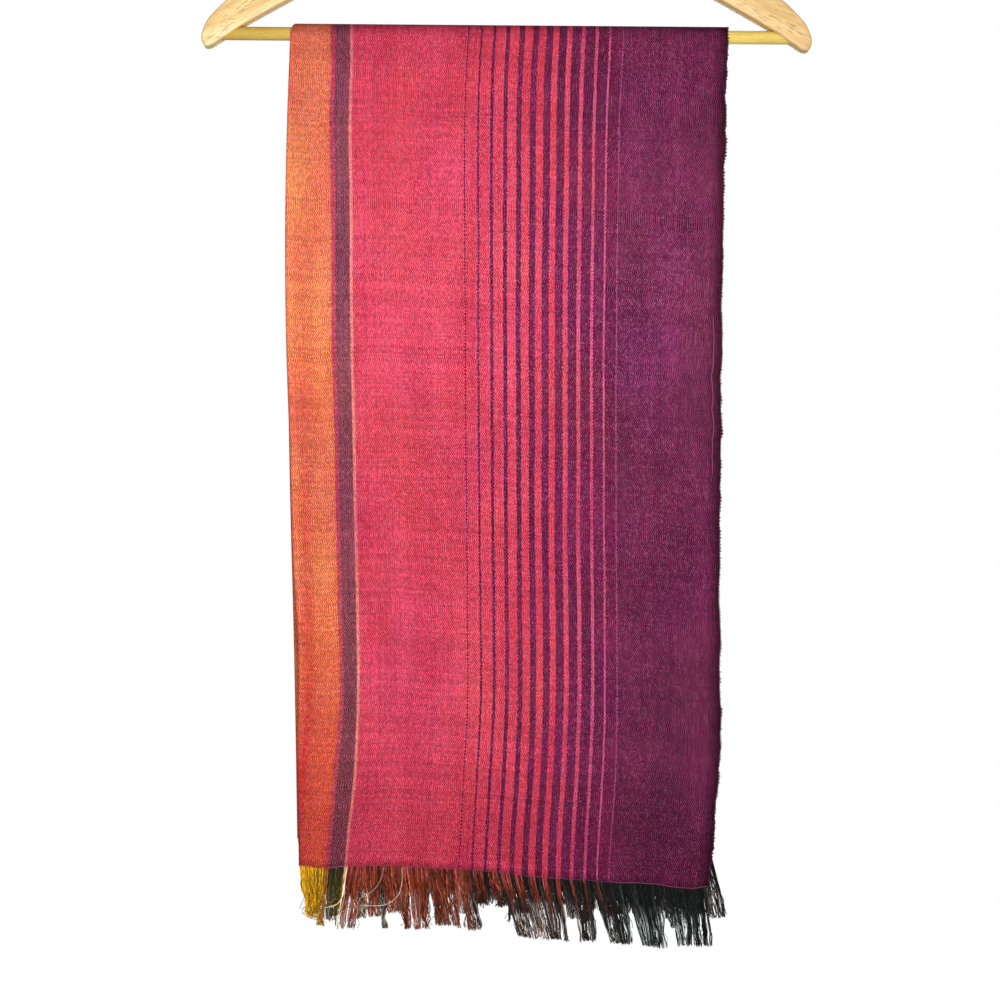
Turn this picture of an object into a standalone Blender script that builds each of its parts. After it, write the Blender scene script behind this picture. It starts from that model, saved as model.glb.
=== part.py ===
"""A striped hand-woven shawl, folded in half along its length and hung over the bar of a flat wooden hanger.

Metres, +Z up, the front faces -Y. The origin is the inner top of the wire hook, where a rail carries the hanger.
The cloth lies as on the hanger: its long fold is at the left, its two selvedges are together at the right.
"""

import math

import bmesh
import bpy
import numpy as np

MM = 0.001

# The hanger
BAR_RADIUS = 4.9 * MM
BAR_DROP = 183 * MM  # from the hook's inner top down to the bar's axis
BAR_HALF_LENGTH = 209 * MM
BAR_SIDES = 32
WOOD_THICKNESS = 14 * MM
WOOD_ROUNDING = 2.6 * MM
WIRE_RADIUS = 2 * MM
HOOK_RADIUS = 22 * MM  # to the wire's centre line
NECK_HEIGHT = 130 * MM  # the wood's top above the bar's axis
STEM_SEAT = 20 * MM  # how far the hook's stem goes into the neck
FIT_GAP = 0.3 * MM
OUTLINE_STEPS = 3  # between neighbouring points of the wood's outline

# The cloth
WALL = 1.0 * MM
LAYER_GAP = 0.3 * MM  # between the two layers on the bar
CLOTH_LENGTH = 1215 * MM  # hem to hem, over the bar
FOLD_SHARE = 0.012  # of the cloth's width, the part that turns round the long fold
FOLD_REACH = 16 * MM  # how far the fold's roundness runs into the layers
PANEL_ROWS = 16
BAR_ROWS = 6
LAYER_CELLS = 16
FOLD_CELLS = 4

# The fringe
STRIP_HEIGHT = 2 * MM
STRANDS = 100  # on each end of the cloth, both layers together
STRAND_SHARE = 0.46  # of each strand's pitch, its root's width

# A strand's rings below its root: where along its length, and its size there, in mm
STRAND_RINGS = [
    {"share": 0.5, "width": 2.0, "thickness": 0.85},
    {"share": 1.0, "width": 0.9, "thickness": 0.6},
]

INNER_OFFSET = BAR_RADIUS + FIT_GAP + WALL / 2  # from the bar's axis to the inner layer's middle
BAR_HALF_GAP = (WALL + LAYER_GAP) / 2  # half the way between the layers' middles, on the bar
HALF_TURN = math.pi * (INNER_OFFSET + BAR_HALF_GAP)

# Edges of the hanging cloth: drop below the bar, fold at the left, outer and inner selvedge at the right, in mm
EDGES = {
    "front": [
        {"drop": 0, "fold": -157.6, "outer": 161.3, "inner": 160.2},
        {"drop": 58, "fold": -159.3, "outer": 160.1, "inner": 158.8},
        {"drop": 158, "fold": -160.1, "outer": 158.2, "inner": 156.6},
        {"drop": 231, "fold": -158.6, "outer": 158.0, "inner": 156.4},
        {"drop": 305, "fold": -155.5, "outer": 158.1, "inner": 156.4},
        {"drop": 378, "fold": -153.0, "outer": 157.7, "inner": 156.3},
        {"drop": 450, "fold": -148.1, "outer": 158.5, "inner": 156.9},
        {"drop": 524, "fold": -148.0, "outer": 159.2, "inner": 157.3},
        {"drop": 582, "fold": -146.9, "outer": 154.6, "inner": 155.4},
        {"drop": 621, "fold": -144.6, "outer": 151.4, "inner": 154.8},
    ],
    "back": [
        {"drop": 0, "fold": -157.6, "outer": 161.3, "inner": 160.2},
        {"drop": 70, "fold": -159.2, "outer": 160.9, "inner": 159.2},
        {"drop": 180, "fold": -159.8, "outer": 159.0, "inner": 156.9},
        {"drop": 320, "fold": -156.9, "outer": 157.4, "inner": 155.4},
        {"drop": 460, "fold": -152.4, "outer": 156.6, "inner": 154.2},
        {"drop": 610, "fold": -148.8, "outer": 154.9, "inner": 151.8},
    ],
}

# The front hem: place across, and how far below the bar each layer ends there, in mm
FRONT_HEM = [
    {"x": -146, "outer": 605.7, "inner": 605.7},
    {"x": -99, "outer": 605.8, "inner": 604.2},
    {"x": -29, "outer": 606.4, "inner": 601.2},
    {"x": 15, "outer": 611.6, "inner": 598.7},
    {"x": 73, "outer": 616.0, "inner": 596.2},
    {"x": 132, "outer": 620.7, "inner": 594.3},
    {"x": 158, "outer": 619.7, "inner": 593.8},
]

# Half the way between the layers' middles, away from the long fold and in it, in mm
LAYER_SPREAD = [
    {"drop": 0, "flat": 0.65, "fold": 0.65},
    {"drop": 60, "flat": 0.70, "fold": 0.95},
    {"drop": 300, "flat": 0.85, "fold": 1.8},
    {"drop": 620, "flat": 1.05, "fold": 2.3},
]

# Soft vertical waves: middle, half width and outward height at the hem, and the drop where each begins, in mm
WAVES = {
    "front": [
        {"x": -112, "half": 48, "height": 5.0, "start": 150},
        {"x": -34, "half": 42, "height": 3.2, "start": 260},
        {"x": 48, "half": 50, "height": 6.2, "start": 190},
        {"x": 126, "half": 40, "height": 4.4, "start": 110},
    ],
    "back": [
        {"x": -122, "half": 44, "height": 5.8, "start": 130},
        {"x": -46, "half": 54, "height": 4.2, "start": 210},
        {"x": 34, "half": 40, "height": 6.6, "start": 170},
        {"x": 108, "half": 52, "height": 4.8, "start": 120},
    ],
}

# Clumps of the fringe that shows: where each begins, its length and the place its tips gather to, in mm
FRONT_CLUMPS = [
    {"x": -160, "length": 42, "gather": -137},
    {"x": -125, "length": 41, "gather": -119},
    {"x": -113, "length": 46, "gather": -110},
    {"x": -105, "length": 33, "gather": -96},
    {"x": -88, "length": 45, "gather": -84},
    {"x": -72, "length": 45, "gather": -61},
    {"x": -52, "length": 40, "gather": -44},
    {"x": -34, "length": 45, "gather": -25},
    {"x": -15, "length": 25, "gather": -11},
    {"x": -6, "length": 34, "gather": 0},
    {"x": 8, "length": 45, "gather": 21},
    {"x": 34, "length": 45, "gather": 41},
    {"x": 50, "length": 31, "gather": 54},
    {"x": 59, "length": 45, "gather": 65},
    {"x": 72, "length": 46, "gather": 86},
    {"x": 101, "length": 45, "gather": 111},
    {"x": 121, "length": 32, "gather": 125},
    {"x": 128, "length": 43, "gather": 141},
]
HIDDEN_CLUMP = {"width": 23 * MM, "length": 44 * MM, "change": 4.5 * MM}
TIP_GATHER = 0.46  # how far tips keep their distance from the clump's gathering place
LEAST_SPACING = 0.52  # of the pitch, the least distance between neighbouring tips

# The hanger's outline, right half, around the bar's axis: from the middle below to the end and back above, in mm
LOWER_EDGE = [
    {"x": 0, "z": 94},
    {"x": 30, "z": 90},
    {"x": 62, "z": 76.5},
    {"x": 105, "z": 53.5},
    {"x": 155.5, "z": 26},
    {"x": 190, "z": 6.6},
    {"x": 206, "z": -3.8},
    {"x": 215, "z": -9.6},
]
END_CURVE = [
    {"x": 220.2, "z": -10.6},
    {"x": 222.4, "z": -4.0},
    {"x": 220.2, "z": 4.4},
    {"x": 215.5, "z": 12},
    {"x": 203.5, "z": 24.3},
]
UPPER_EDGE = [
    {"x": 180, "z": 39.5},
    {"x": 155.5, "z": 54},
    {"x": 105, "z": 83.5},
    {"x": 62, "z": 107.5},
    {"x": 34, "z": 121.5},
    {"x": 14, "z": 129},
]


def clear_scene():
    for obj in list(bpy.data.objects):
        bpy.data.objects.remove(obj, do_unlink=True)


def material(name, colour, roughness, metallic=0.0):
    made = bpy.data.materials.new(name)
    made.use_nodes = True
    shader = made.node_tree.nodes["Principled BSDF"]
    shader.inputs["Base Color"].default_value = (*colour, 1)
    shader.inputs["Roughness"].default_value = roughness
    shader.inputs["Metallic"].default_value = metallic
    return made


def object_from(name, points, faces, finish, smooth_angle=math.radians(40)):
    """Makes one object from points and faces, with its faces turned outwards."""
    mesh = bpy.data.meshes.new(name)
    mesh.from_pydata([tuple(point) for point in points], [], faces)
    work = bmesh.new()
    work.from_mesh(mesh)
    bmesh.ops.recalc_face_normals(work, faces=work.faces)
    work.to_mesh(mesh)
    work.free()
    mesh.shade_smooth()
    mesh.set_sharp_from_angle(angle=smooth_angle)
    made = bpy.data.objects.new(name, mesh)
    made.data.materials.append(finish)
    bpy.context.scene.collection.objects.link(made)
    return made


def column(rows, name):
    return np.array([row[name] for row in rows], float) * MM


def curve_through(rows, key, value, at):
    """A smooth curve through a table's values: cubic pieces whose slopes are those between the rows on each side."""
    knots = column(rows, key)
    values = column(rows, value)
    slopes = np.gradient(values, knots)
    at = np.clip(at, knots[0], knots[-1])
    left = np.clip(np.searchsorted(knots, at, side="right") - 1, 0, len(knots) - 2)
    span = knots[left + 1] - knots[left]
    t = (at - knots[left]) / span
    start = (2 * t**3 - 3 * t**2 + 1) * values[left] + (t**3 - 2 * t**2 + t) * span * slopes[left]
    end = (3 * t**2 - 2 * t**3) * values[left + 1] + (t**3 - t**2) * span * slopes[left + 1]
    return start + end


def front_hem(across):
    """How far the front hangs below the bar at a place across the cloth, from 0, outer selvedge, to 1, inner."""
    width = 2 * np.minimum(across, 1 - across)
    fold, right = EDGES["front"][-1]["fold"] * MM, EDGES["front"][-1]["outer"] * MM
    x = right + width * (fold - right)
    outer = curve_through(FRONT_HEM, "x", "outer", x)
    inner = curve_through(FRONT_HEM, "x", "inner", x)
    return np.where(across < 0.5, outer, inner)


def hem(side, across):
    """The two halves share the cloth's length, so the back ends higher where the front ends lower."""
    front = front_hem(across)
    return front if side == "front" else CLOTH_LENGTH - HALF_TURN - front


def section(side, across, drop):
    """The folded cloth's middle line across: place x, offset q outwards from the bar's axis, and its flat normal.

    The outer layer runs from the right selvedge to the fold, a half circle turns it, and the inner layer runs back.
    """
    fold_x = curve_through(EDGES[side], "drop", "fold", drop)
    flat = curve_through(LAYER_SPREAD, "drop", "flat", drop)
    fold = curve_through(LAYER_SPREAD, "drop", "fold", drop)
    turn_x = fold_x + WALL / 2 + fold
    outer_end = 0.5 - FOLD_SHARE / 2
    inner_start = 0.5 + FOLD_SHARE / 2

    outer_t = np.clip(across / outer_end, 0, 1)
    inner_t = np.clip((across - inner_start) / (1 - inner_start), 0, 1)
    outer_edge = curve_through(EDGES[side], "drop", "outer", drop)
    inner_edge = curve_through(EDGES[side], "drop", "inner", drop)
    outer_x = outer_edge + outer_t * (turn_x - outer_edge)
    inner_x = turn_x + inner_t * (inner_edge - turn_x)
    spread = flat + (fold - flat) * np.exp(-(((outer_x - turn_x) / FOLD_REACH) ** 2))

    angle = np.clip((across - outer_end) / FOLD_SHARE, 0, 1) * math.pi
    turn = (across > outer_end) & (across < inner_start)
    outer = across <= outer_end
    x = np.where(turn, turn_x - fold * np.sin(angle), np.where(outer, outer_x, inner_x))
    q = np.where(turn, fold * (1 + np.cos(angle)), np.where(outer, 2 * spread, 0)) + INNER_OFFSET
    return x, q, -np.sin(angle), np.cos(angle)


def wave(side, x, drop):
    """How far the cloth stands outwards there: raised cosines across, each growing with the drop from its start."""
    height = np.zeros_like(x)
    for row in WAVES[side]:
        near = np.clip(np.abs(x / MM - row["x"]) / row["half"], 0, 1)
        grown = np.clip((drop / MM - row["start"]) / (620 - row["start"]), 0, 1.2)
        height += row["height"] * MM * grown**1.5 * (1 + np.cos(math.pi * near)) / 2
    return height


def hanging_points(side, across, drop, outwards):
    """Points of the hanging half, moved along the section's normal by outwards."""
    x, q, normal_x, normal_q = section(side, across, drop)
    reach = q + normal_q * outwards + wave(side, x, drop)
    y = -reach if side == "front" else reach
    return np.stack([x + normal_x * outwards, y, -BAR_DROP - drop], axis=-1)


def turning_points(across, angle, outwards):
    """Points of the half turn over the bar, from its front at angle 0 to its back."""
    x, q, normal_x, normal_q = section("front", across, np.zeros_like(across))
    reach = q + normal_q * outwards
    y = -reach * np.cos(angle)
    return np.stack([x + normal_x * outwards, y, -BAR_DROP + reach * np.sin(angle)], axis=-1)


def across_columns():
    outer_end = 0.5 - FOLD_SHARE / 2
    layer = np.linspace(0, outer_end, LAYER_CELLS + 1)
    turn = np.linspace(outer_end, 1 - outer_end, FOLD_CELLS + 1)
    return np.concatenate([layer, turn[1:-1], 1 - layer[::-1]])


def wall_between(name, outside, inside, finish):
    """One closed wall between two grids of points of the same shape."""
    rows, columns, _ = outside.shape
    points = np.concatenate([outside.reshape(-1, 3), inside.reshape(-1, 3)])
    half = rows * columns
    faces = []
    for row in range(rows - 1):
        for cell in range(columns - 1):
            a = row * columns + cell
            b = a + columns
            faces.append((a, a + 1, b + 1, b))
            faces.append((a + half, b + half, b + 1 + half, a + 1 + half))
    for cell in range(columns - 1):
        for a in (cell, (rows - 1) * columns + cell):
            faces.append((a, a + 1, a + 1 + half, a + half))
    for row in range(rows - 1):
        for a in (row * columns, row * columns + columns - 1):
            faces.append((a, a + columns, a + columns + half, a + half))
    return object_from(name, points, faces, finish)


def hanging_half(name, side, finish):
    across = across_columns()[None, :]
    share = np.linspace(0, 1, PANEL_ROWS + 1)[:, None]
    drop = FIT_GAP + share * (hem(side, across) - FIT_GAP)
    across = np.broadcast_to(across, drop.shape)
    outside = hanging_points(side, across, drop, WALL / 2)
    inside = hanging_points(side, across, drop, -WALL / 2)
    return wall_between(name, outside, inside, finish)


def turn_over_bar(name, finish):
    angle = np.linspace(0, math.pi, BAR_ROWS + 1)[:, None]
    across = np.broadcast_to(across_columns()[None, :], (BAR_ROWS + 1, len(across_columns())))
    angle = np.broadcast_to(angle, across.shape)
    outside = turning_points(across, angle, WALL / 2)
    inside = turning_points(across, angle, -WALL / 2)
    return wall_between(name, outside, inside, finish)


def clump_of(side, across, x):
    """The length of the strand there, and the place its clump gathers to."""
    if side == "front" and across < 0.5:
        row = [row for row in FRONT_CLUMPS if row["x"] * MM <= x][-1]
        return row["length"] * MM, row["gather"] * MM
    number = math.floor(x / HIDDEN_CLUMP["width"])
    middle = (number + 0.5) * HIDDEN_CLUMP["width"]
    change = math.sin(2.4 * number + 9 * across) * HIDDEN_CLUMP["change"]
    return HIDDEN_CLUMP["length"] + change, middle


def tip_places(side, across, x, pitch):
    """Length and tip x of each strand. Tips gather in clumps, and neighbours keep their order and a least distance."""
    clumps = [clump_of(side, a, place) for a, place in zip(across, x)]
    lengths = np.array([length for length, _ in clumps])
    gather = np.array([middle for _, middle in clumps])
    tips = gather + TIP_GATHER * (x - gather)
    step = np.sign(x[1:] - x[:-1])
    least = LEAST_SPACING * pitch
    for i in range(1, len(tips)):
        same_layer = (across[i] < 0.5) == (across[i - 1] < 0.5)
        if same_layer and (tips[i] - tips[i - 1]) * step[i - 1] < least:
            tips[i] = tips[i - 1] + step[i - 1] * least
    return lengths, tips


def fringe(name, side, finish):
    """A narrow strip just below the hem, folded as the cloth is, with strands from every other cell of it."""
    pitch = 1 / STRANDS
    starts = (np.arange(STRANDS) + (1 - STRAND_SHARE) / 2) * pitch
    cuts = np.sort(np.concatenate([[0], starts, starts + STRAND_SHARE * pitch, [1]]))
    top = hem(side, cuts) + FIT_GAP
    rings = []
    for drop in (top, top + STRIP_HEIGHT):
        for outwards in (WALL / 2, -WALL / 2):
            rings.append(hanging_points(side, cuts, drop, outwards))
    points = list(np.concatenate(rings))
    count = len(cuts)
    faces = [(0, count, 3 * count, 2 * count), (count - 1, 2 * count - 1, 4 * count - 1, 3 * count - 1)]
    for cell in range(count - 1):
        a, b, c, d = cell, cell + count, cell + 2 * count, cell + 3 * count
        faces.append((a, a + 1, b + 1, b))
        faces.append((a, c, c + 1, a + 1))
        faces.append((b, b + 1, d + 1, d))
        if cell % 2 == 0:
            faces.append((c, d, d + 1, c + 1))

    middle = starts + STRAND_SHARE * pitch / 2
    roots = hanging_points(side, middle, hem(side, middle), 0.0)
    spacing = np.abs(roots[1, 0] - roots[0, 0])
    lengths, tips = tip_places(side, middle, roots[:, 0], spacing)
    for strand in range(STRANDS):
        cell = 2 * strand + 1
        ring = [cell + 2 * count, cell + 1 + 2 * count, cell + 1 + 3 * count, cell + 3 * count]
        corners = np.array([points[i] for i in ring])
        root = corners.mean(axis=0)
        along = (corners[1] - corners[0]) * (1, 1, 0)
        along /= np.linalg.norm(along)
        through = (corners[3] - corners[0]) / WALL
        for row in STRAND_RINGS:
            lean = (tips[strand] - root[0]) * row["share"] ** 1.3
            centre = root + np.array([lean, 0, -(lengths[strand] - STRIP_HEIGHT) * row["share"]])
            side_step = along * row["width"] * MM / 2
            deep_step = through * row["thickness"] * MM / 2
            index = [len(points) + i for i in range(4)]
            points.extend(centre + a * side_step + b * deep_step for a, b in ((-1, -1), (1, -1), (1, 1), (-1, 1)))
            for i in range(4):
                j = (i + 1) % 4
                faces.append((ring[i], ring[j], index[j], index[i]))
            ring = index
        faces.append(tuple(ring))
    return object_from(name, points, faces, finish)


def smooth_outline(rows, steps):
    """A smooth curve through the rows' points, with this many steps between neighbours."""
    points = np.array([(row["x"], row["z"]) for row in rows], float) * MM
    padded = np.vstack([2 * points[0] - points[1], points, 2 * points[-1] - points[-2]])
    found = []
    for i in range(len(points) - 1):
        a, b, c, d = padded[i : i + 4]
        for t in np.arange(steps) / steps:
            curve = 2 * b + (c - a) * t + (2 * a - 5 * b + 4 * c - d) * t**2 + (3 * b - a - 3 * c + d) * t**3
            found.append(curve / 2)
    found.append(points[-1])
    return np.array(found)


def cylinder(name, radius, start, end, sides):
    """A cylinder between two points."""
    start, end = np.array(start), np.array(end)
    axis = (end - start) / np.linalg.norm(end - start)
    first = np.cross(axis, (0, 1, 0))
    first /= np.linalg.norm(first)
    second = np.cross(axis, first)
    turn = np.arange(sides) * 2 * math.pi / sides
    circle = radius * (np.cos(turn)[:, None] * first + np.sin(turn)[:, None] * second)
    points = np.concatenate([circle + start, circle + end])
    faces = [tuple(range(sides)), tuple(range(2 * sides - 1, sides - 1, -1))]
    for i in range(sides):
        j = (i + 1) % sides
        faces.append((i, j, j + sides, i + sides))
    finish = bpy.data.materials.get("hanger_wood")
    return object_from(name, points, faces, finish)


def cut(obj, cutter):
    cutter.hide_render = True
    cutter.display_type = "WIRE"
    boolean = obj.modifiers.new(cutter.name, "BOOLEAN")
    boolean.operation = "DIFFERENCE"
    boolean.solver = "EXACT"
    boolean.object = cutter


def hanger_shoulders(finish):
    right = np.concatenate(
        [
            smooth_outline(LOWER_EDGE + END_CURVE[:1], OUTLINE_STEPS)[:-1],
            smooth_outline(END_CURVE, OUTLINE_STEPS)[:-1],
            smooth_outline(END_CURVE[-1:] + UPPER_EDGE, OUTLINE_STEPS),
        ]
    )
    top = np.array([[0, NECK_HEIGHT]])
    left = right[:0:-1] * (-1, 1)
    outline = np.concatenate([right, top, left])
    count = len(outline)
    near = np.stack([outline[:, 0], np.full(count, -WOOD_THICKNESS / 2), outline[:, 1] - BAR_DROP], axis=-1)
    far = near * (1, -1, 1)
    faces = [tuple(range(count)), tuple(range(2 * count - 1, count - 1, -1))]
    for i in range(count):
        j = (i + 1) % count
        faces.append((i, j, j + count, i + count))
    made = object_from("hanger_shoulders", np.concatenate([near, far]), faces, finish)
    rounding = made.modifiers.new("rounded edges", "BEVEL")
    rounding.width = WOOD_ROUNDING
    rounding.segments = 3
    rounding.limit_method = "ANGLE"
    rounding.angle_limit = math.radians(60)

    for name, sign in (("bar_hole_left", -1), ("bar_hole_right", 1)):
        inner_end = (sign * 150 * MM, 0, -BAR_DROP)
        outer_end = (sign * (BAR_HALF_LENGTH + FIT_GAP), 0, -BAR_DROP)
        cut(made, cylinder(name, BAR_RADIUS + FIT_GAP, inner_end, outer_end, BAR_SIDES))
    neck_top = NECK_HEIGHT - BAR_DROP
    seat = (0, 0, neck_top - STEM_SEAT - FIT_GAP)
    cut(made, cylinder("stem_hole", WIRE_RADIUS + FIT_GAP, seat, (0, 0, neck_top + 10 * MM), 12))
    return made


def hook_route():
    """The wire's middle line: up the stem, a short bend, then round a circle past its top to a free end."""
    centre_z = WIRE_RADIUS - HOOK_RADIUS
    seat_z = NECK_HEIGHT - BAR_DROP - STEM_SEAT
    stem_top = np.array([0, centre_z - HOOK_RADIUS - 7 * MM])
    start_angle = math.radians(-48)
    end_angle = math.radians(196)
    joins = np.array([HOOK_RADIUS * math.cos(start_angle), centre_z + HOOK_RADIUS * math.sin(start_angle)])
    heading = np.array([-math.sin(start_angle), math.cos(start_angle)])
    pull = 9 * MM
    bend = []
    for t in np.linspace(0, 1, 8):
        a = stem_top * (1 - t) ** 3 + 3 * (stem_top + (0, pull)) * t * (1 - t) ** 2
        b = 3 * (joins - heading * pull) * t**2 * (1 - t) + joins * t**3
        bend.append(a + b)
    angles = np.linspace(start_angle, end_angle, 23)[1:]
    circle = np.stack([HOOK_RADIUS * np.cos(angles), centre_z + HOOK_RADIUS * np.sin(angles)], axis=-1)
    return np.concatenate([[[0, seat_z]], bend, circle])


def hanger_hook(finish):
    curve = bpy.data.curves.new("hanger_hook", "CURVE")
    curve.dimensions = "3D"
    curve.bevel_depth = WIRE_RADIUS
    curve.bevel_resolution = 3
    curve.use_fill_caps = True
    route = hook_route()
    spline = curve.splines.new("POLY")
    spline.points.add(len(route) - 1)
    for point, (x, z) in zip(spline.points, route):
        point.co = (x, 0, z, 1)
    made = bpy.data.objects.new("hanger_hook", curve)
    curve.materials.append(finish)
    bpy.context.scene.collection.objects.link(made)
    return made


def main():
    clear_scene()
    weave = material("shawl_weave", (0.52, 0.05, 0.11), 0.85)
    threads = material("fringe_threads", (0.16, 0.06, 0.04), 0.9)
    wood = material("hanger_wood", (0.72, 0.50, 0.29), 0.45)
    steel = material("hook_steel", (0.70, 0.70, 0.70), 0.28, 1.0)
    hanging_half("shawl_front", "front", weave)
    turn_over_bar("shawl_over_bar", weave)
    hanging_half("shawl_back", "back", weave)
    fringe("fringe_front", "front", threads)
    fringe("fringe_back", "back", threads)
    hanger_shoulders(wood)
    ends = [(sign * BAR_HALF_LENGTH, 0, -BAR_DROP) for sign in (-1, 1)]
    cylinder("hanger_bar", BAR_RADIUS, *ends, BAR_SIDES)
    hanger_hook(steel)


main()
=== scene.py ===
import math

import bmesh
import bpy
import numpy as np
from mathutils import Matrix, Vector


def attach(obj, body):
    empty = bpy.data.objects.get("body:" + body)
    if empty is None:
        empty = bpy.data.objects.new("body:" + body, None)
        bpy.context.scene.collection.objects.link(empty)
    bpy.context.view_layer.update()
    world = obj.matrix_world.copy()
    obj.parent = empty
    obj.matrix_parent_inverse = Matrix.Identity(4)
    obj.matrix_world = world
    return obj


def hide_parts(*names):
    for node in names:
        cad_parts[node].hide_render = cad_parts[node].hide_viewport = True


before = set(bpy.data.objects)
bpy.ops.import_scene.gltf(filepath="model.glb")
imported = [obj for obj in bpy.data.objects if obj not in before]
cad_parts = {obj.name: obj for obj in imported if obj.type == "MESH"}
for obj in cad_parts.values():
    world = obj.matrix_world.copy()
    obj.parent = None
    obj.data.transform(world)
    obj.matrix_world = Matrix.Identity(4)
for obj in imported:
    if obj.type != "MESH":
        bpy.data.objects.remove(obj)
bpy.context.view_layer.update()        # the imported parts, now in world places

mm = 0.001
print("frame loaded:", sorted(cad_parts))


# Shape helpers

def srgb(red, green, blue):
    # a screen colour from 0 to 255 as linear light, with full alpha
    values = np.array([red, green, blue]) / 255
    linear = np.where(values <= 0.04045, values / 12.92, ((values + 0.055) / 1.055) ** 2.4)
    return (*[float(value) for value in linear], 1.0)


def table(names, *rows):
    # rows of values as dictionaries by the names
    return [dict(zip(names, row)) for row in rows]


def curveThrough(rows, key, value, at):
    # cubic pieces through a table in mm, whose slopes are those between the rows on each side
    knots = np.array([row[key] for row in rows], float) * mm
    values = np.array([row[value] for row in rows], float) * mm
    slopes = np.gradient(values, knots)
    at = np.clip(at, knots[0], knots[-1])
    left = np.clip(np.searchsorted(knots, at, side="right") - 1, 0, len(knots) - 2)
    span = knots[left + 1] - knots[left]
    t = (at - knots[left]) / span
    start = (2 * t**3 - 3 * t**2 + 1) * values[left] + (t**3 - 2 * t**2 + t) * span * slopes[left]
    end = (3 * t**2 - 2 * t**3) * values[left + 1] + (t**3 - t**2) * span * slopes[left + 1]
    return start + end


def meshFrom(name, points, faceSets, uv=None, finish=None, smooth=True):
    # points is (n, 3), faceSets are arrays of faces with the same number of corners, uv is (n, 2) by point
    mesh = bpy.data.meshes.new(name)
    points = np.asarray(points, np.float32).reshape(-1, 3)
    corners = np.concatenate([faces.reshape(-1) for faces in faceSets]).astype(np.int32)
    sizes = np.concatenate([np.full(len(faces), faces.shape[1]) for faces in faceSets])
    starts = np.concatenate([[0], np.cumsum(sizes)[:-1]]).astype(np.int32)
    mesh.vertices.add(len(points))
    mesh.vertices.foreach_set("co", points.ravel())
    mesh.loops.add(len(corners))
    mesh.loops.foreach_set("vertex_index", corners)
    mesh.polygons.add(len(sizes))
    mesh.polygons.foreach_set("loop_start", starts)
    if uv is not None:
        layer = mesh.uv_layers.new(name="weave")
        layer.data.foreach_set("uv", np.asarray(uv, np.float32).reshape(-1, 2)[corners].ravel())
    mesh.update(calc_edges=True)
    mesh.validate()
    if smooth:
        mesh.shade_smooth()
    made = bpy.data.objects.new(name, mesh)
    bpy.context.scene.collection.objects.link(made)
    if finish:
        mesh.materials.append(finish)
    return made


def gridFaces(rows, columns, offset=0, flip=False):
    # quads of a grid of points stored row by row
    a = (np.arange(rows - 1)[:, None] * columns + np.arange(columns - 1)[None, :]).reshape(-1) + offset
    quads = np.stack([a, a + 1, a + 1 + columns, a + columns], axis=1)
    return quads[:, ::-1] if flip else quads


def tubes(paths, radii, sides, reference):
    # a ring of points round each path point, square to the path; no path follows the reference direction
    tangent = np.gradient(paths, axis=1)
    tangent /= np.linalg.norm(tangent, axis=2, keepdims=True) + 1e-12
    first = np.cross(tangent, np.asarray(reference, float))
    first /= np.linalg.norm(first, axis=2, keepdims=True) + 1e-12
    second = np.cross(tangent, first)
    turn = np.arange(sides) * 2 * math.pi / sides
    ring = np.cos(turn)[:, None] * first[:, :, None, :] + np.sin(turn)[:, None] * second[:, :, None, :]
    points = paths[:, :, None, :] + radii[:, :, None, None] * ring
    count, steps = paths.shape[:2]
    base = (np.arange(count)[:, None, None] * steps + np.arange(steps - 1)[None, :, None]) * sides
    here = base + np.arange(sides)[None, None, :]
    there = base + (np.arange(sides)[None, None, :] + 1) % sides
    quads = np.stack([here, there, there + sides, here + sides], axis=-1).reshape(-1, 4)
    firstRing = np.arange(count)[:, None] * steps * sides + np.arange(sides)[None, :]
    caps = np.concatenate([firstRing[:, ::-1], firstRing + (steps - 1) * sides])
    return points.reshape(-1, 3), [quads[:, ::-1], caps[:, ::-1]]


# The hanging cloth's form, the same as in the solids

clothForm = {
    "barRadius": 4.9 * mm,
    "barDrop": 183 * mm,          # from the hook's inner top to the bar's axis
    "fitGap": 0.3 * mm,
    "solidWall": 1.0 * mm,        # of the solids; this shell lies in its middle
    "wall": 0.8 * mm,
    "layerGap": 0.3 * mm,
    "length": 1215 * mm,          # hem to hem over the bar
    "width": 640 * mm,            # both layers, laid flat
    "foldShare": 0.012,           # the part of the width that turns round the long fold
    "foldReach": 16 * mm,         # how far from the fold the layers stand apart
    "cornerPull": 2.4 * mm,       # how far the fold draws in over the bar, and how far that reaches across
    "cornerReach": 7 * mm,
    "fullDrop": 620 * mm,         # where the soft waves have their whole height
    "rippleHeight": 0.22 * mm,    # small ripples, and the drop below which they are whole
    "rippleDrop": 160 * mm,
    "layerColumns": 96,
    "foldColumns": 10,
    "frontRows": 122,
    "turnRows": 14,
    "backRows": 84,
}
innerOffset = clothForm["barRadius"] + clothForm["fitGap"] + clothForm["solidWall"] / 2
turnRadius = innerOffset + (clothForm["solidWall"] + clothForm["layerGap"]) / 2
halfTurn = math.pi * turnRadius

# Long edges: drop below the bar, fold at the left, outer and inner selvedge at the right, in mm
edgeNames = ("drop", "fold", "outer", "inner")
clothEdges = {
    "front": table(
        edgeNames,
        (0, -157.6, 160.4, 159.6),
        (58, -159.3, 159.5, 158.4),
        (158, -160.1, 158.2, 156.6),
        (231, -158.6, 158.0, 156.4),
        (305, -155.5, 158.1, 156.4),
        (378, -153.0, 157.7, 156.3),
        (450, -148.1, 158.5, 156.9),
        (524, -148.0, 159.2, 157.3),
        (582, -146.9, 154.6, 155.4),
        (621, -146.0, 151.4, 154.8),
    ),
    "back": table(
        edgeNames,
        (0, -157.6, 161.3, 160.2),
        (70, -159.2, 160.9, 159.2),
        (180, -159.8, 159.0, 156.9),
        (320, -156.9, 157.4, 155.4),
        (460, -152.4, 156.6, 154.2),
        (610, -148.8, 154.9, 151.8),
    ),
}

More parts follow.
